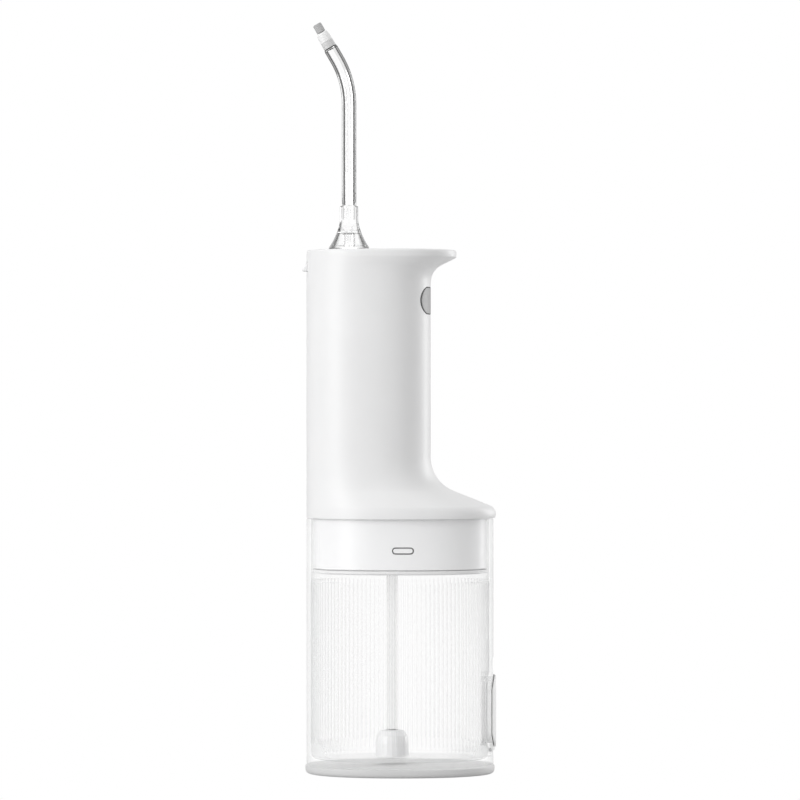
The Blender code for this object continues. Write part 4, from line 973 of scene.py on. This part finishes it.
def make_nozzle_tube():
    """A clear tube with a fine bore, a thicker sleeve and a hollow bell foot round its plug-in stem."""
    low = NOZZLE_LOW.z - BEND_START
    foot = FLARE_BOTTOM - BEND_START
    sleeve = SLEEVE_TOP - BEND_START
    seat = TIP_START + TIP_SEAT_DEPTH
    profile = [(low, STEM_RADIUS - 0.3), (low + 0.3, STEM_RADIUS), (foot + BELL_ROOF, STEM_RADIUS)]
    for z in steps(FLARE_BOTTOM + 6.0, FLARE_BOTTOM + 0.3, 8):
        profile.append((z - BEND_START, max(flare(z) - BELL_WALL, STEM_RADIUS + 0.5)))
    profile += [(foot, 6.9), (foot, 7.6), (foot + 0.25, 7.85)]
    for z in steps(FLARE_BOTTOM + FLARE_EDGE, FLARE_BOTTOM + FLARE_EDGE + FLARE_HEIGHT, 16):
        profile.append((z - BEND_START, flare(z)))
    profile += [(sleeve - 0.4, SLEEVE_RADIUS), (sleeve - 0.1, SLEEVE_RADIUS - 0.2)]
    profile += [(sleeve, TUBE_RADIUS + 0.1), (sleeve + 0.3, TUBE_RADIUS), (-20.0, TUBE_RADIUS)]
    profile += [(distance, TUBE_RADIUS) for distance in steps(0.0, ARC_LENGTH, ARC_STEPS)]
    profile += [(TIP_START - 0.3, TUBE_RADIUS), (TIP_START, TUBE_RADIUS - 0.3), (TIP_START, TIP_SEAT_RADIUS)]
    bore_start = len(profile)
    profile += [(seat, TIP_SEAT_RADIUS), (seat, BORE_RADIUS)]
    profile += [(distance, BORE_RADIUS) for distance in steps(ARC_LENGTH, 0.0, ARC_STEPS)]
    profile.append((low, BORE_RADIUS))
    tube = add_mesh("nozzle_clear_tube", [nozzle_ring(d, r) for d, r in profile], loop=True)
    finished(tube, CLEAR_TUBE, "nozzle", "nozzle_tube", slot="clear_nozzle")
    tube.data.materials.append(CLEAR_BELL)
    tube.data.materials.append(CLEAR_BORE)
    for face in tube.data.polygons:
        x, y, z = face.center / MM
        outward = (x - NOZZLE_X) * face.normal.x + y * face.normal.y > 0
        if z < SLEEVE_TOP + 0.2:
            face.material_index = 1 if outward else 2
        elif face.index // SMALL_ROUND >= bore_start:
            face.material_index = 2


def nozzle_end_piece(name, profile):
    """A round solid on the nozzle's middle line, past the end of the tube."""
    return add_mesh(name, [nozzle_ring(TIP_START + d, r) for d, r in profile], loop=True)


def make_nozzle_end():
    """The white band with its grey foot, the dark ring under it and the grey tip."""
    band = nozzle_end_piece("nozzle_white_band", BAND_PROFILE)
    finished(band, BAND_WHITE, "nozzle", "nozzle_tip_collar", slot="white_trim")
    band.data.materials.append(BAND_GREY)
    for face in band.data.polygons:
        face.material_index = 1 if face.index // SMALL_ROUND < GREY_BAND_RINGS else 0
    ring = nozzle_end_piece("nozzle_band_ring", BAND_RING_PROFILE)
    finished(ring, BLACK_RUBBER_AND_GAP_SHADE, "nozzle", slot="rubber_seal")
    tip = nozzle_end_piece("nozzle_grey_tip", TIP_PROFILE)
    finished(tip, GREY_TIP, "nozzle", "nozzle_tip", slot="grey_plastic")


def make_turn_collar():
    """The turning ring that the nozzle plugs into, with a groove for its O-ring."""
    bottom, top = COLLAR_LOW.z, COLLAR_HIGH.z
    profile = [
        (2.6, bottom), (2.6, top - 0.2), (2.8, top), (7.0, top), (7.2, top - 0.2), (7.2, TURN_COLLAR_STEP),
        (4.4, TURN_COLLAR_STEP), (4.4, O_RING_TOP), (3.7, O_RING_TOP), (3.7, O_RING_BOTTOM),
        (4.4, O_RING_BOTTOM), (4.4, bottom),
    ]
    rings = [lifted(disc(radius, NOZZLE_X, 0.0), "Z", z) for radius, z in profile]
    collar = add_mesh("turning_ring", rings, loop=True)
    finished(collar, WHITE_TRIM, "turn_collar", "turn_collar", slot=SLOT_OF["turn_collar"])


def paint_kept_nodes():
    """Every CAD node that still shows takes the procedural material of its slot."""
    for name, obj in frame["nodes"].items():
        if obj.hide_render:
            continue
        obj.data.materials.clear()
        obj.data.materials.append(BY_SLOT[SLOT_OF[name]])


# ---- camera, light and floor, in metres ------------------------------------------------------

CAMERA_DISTANCE, EYE_HEIGHT = 1.65, 0.1427
METRES_PER_PIXEL, PICTURE = 0.000383, 800

LIGHT_TARGET = (-0.01, 0.0, 0.13)
LIGHTS = (
    # name, location, size, lift
    ("key_left", (-1.05, -0.8, 0.35), (0.5, 0.9), 0.46),
    ("rim_right", (0.95, 0.7, 0.25), (0.4, 0.9), 0.36),
    ("top", (0.0, -0.1, 1.3), (0.9, 0.9), 0.17),
)
AMBIENT = 0.68
PANELS, PANEL_GAP = 8, 0.45  # white panels all round, and how bright it is between two of them

FLOOR_REACH = 40000.0  # millimetres, as all meshes are
FLOOR_BOTTOM, FLOOR_TOP = -8.0, -1.0


def area_light(name, location, size, lift):
    """A soft panel. lift is how much of full white it adds to a matt surface that faces it at the target."""
    light = bpy.data.lights.new(name, "AREA")
    light.shape = "RECTANGLE"
    light.size, light.size_y = size
    away = Vector(location) - Vector(LIGHT_TARGET)
    light.energy = lift * math.pi**2 * away.length_squared
    obj = bpy.data.objects.new(name, light)
    obj.location = location
    obj.rotation_euler = away.to_track_quat("Z", "Y").to_euler()
    bpy.context.scene.collection.objects.link(obj)


def panel_ring(tree):
    """How bright a direction is in the ring of upright white panels."""
    place = tree.nodes.new("ShaderNodeTexCoord")
    parts = tree.nodes.new("ShaderNodeSeparateXYZ")
    tree.links.new(place.outputs["Generated"], parts.inputs["Vector"])
    turn = math_node(tree, "ARCTAN2", parts.outputs["X"], parts.outputs["Y"])
    wave = math_node(tree, "COSINE", math_node(tree, "MULTIPLY", turn, PANELS))
    node = tree.nodes.new("ShaderNodeMapRange")
    node.interpolation_type = "SMOOTHSTEP"
    node.inputs["From Min"].default_value = -0.9
    node.inputs["From Max"].default_value = 0.1
    node.inputs["To Min"].default_value = PANEL_GAP
    node.inputs["To Max"].default_value = 1.0
    tree.links.new(wave, node.inputs["Value"])
    return node.outputs["Result"]


def make_world():
    """White behind the object, a ring of panels seen through clear plastic, and an even ambient light."""
    world = bpy.data.worlds.new("studio")
    bpy.context.scene.world = world
    world.use_nodes = True
    tree = world.node_tree
    path = tree.nodes.new("ShaderNodeLightPath")
    through = math_node(tree, "MULTIPLY", path.outputs["Is Transmission Ray"], panel_ring(tree))
    seen = math_node(tree, "MAXIMUM", path.outputs["Is Camera Ray"], through)
    background = tree.nodes["Background"]
    tree.links.new(math_node(tree, "MAXIMUM", seen, AMBIENT), background.inputs["Strength"])
    background.inputs["Color"].default_value = WHITE


def make_floor():
    """A plain pale floor, pure white where it is seen directly or through clear plastic."""
    corners = [(-FLOOR_REACH, -FLOOR_REACH), (FLOOR_REACH, -FLOOR_REACH), (FLOOR_REACH, FLOOR_REACH),
               (-FLOOR_REACH, FLOOR_REACH)]
    floor = extruded("floor", corners, "Z", FLOOR_BOTTOM, FLOOR_TOP)
    material, tree, shader = new_material("pale_floor")
    tone = ramp(tree, noise(tree, 3.0), (0.61, 0.61, 0.61), (0.63, 0.63, 0.63))
    tree.links.new(tone, shader.inputs["Base Color"])
    shader.inputs["Roughness"].default_value = 0.8
    path = tree.nodes.new("ShaderNodeLightPath")
    seen = math_node(tree, "MAXIMUM", path.outputs["Is Camera Ray"], path.outputs["Is Transmission Ray"])
    shine = tree.nodes.new("ShaderNodeEmission")
    mix_shaders(tree, seen, shader.outputs["BSDF"], shine.outputs["Emission"])
    floor.data.materials.append(material)


def make_camera():
    """Level with the middle of the object, far enough for an almost flat side view."""
    camera = bpy.data.cameras.new("camera")
    camera.sensor_width = 36.0
    camera.lens = CAMERA_DISTANCE / METRES_PER_PIXEL * camera.sensor_width / PICTURE
    camera.clip_start = 0.05
    camera.clip_end = 200.0
    obj = bpy.data.objects.new("camera", camera)
    obj.location = (0.0, -CAMERA_DISTANCE, EYE_HEIGHT)
    obj.rotation_euler = (math.pi / 2, 0.0, 0.0)
    bpy.context.scene.collection.objects.link(obj)
    bpy.context.scene.camera = obj


def make_studio():
    bpy.context.scene.view_settings.view_transform = "Standard"
    make_world()
    for light in LIGHTS:
        area_light(*light)


make_camera()
make_studio()
make_floor()
make_base()
make_tank()
make_fill_plug()
make_plug_edge_shade()
make_plug_lip()
make_housing()
make_vent()
make_collar_seal()
make_handle()
make_top()
make_power_button()
make_lens()
make_port_cover()
make_release_key()
make_turn_collar()
make_nozzle_tube()
make_nozzle_end()
make_release_spring()
paint_kept_nodes()
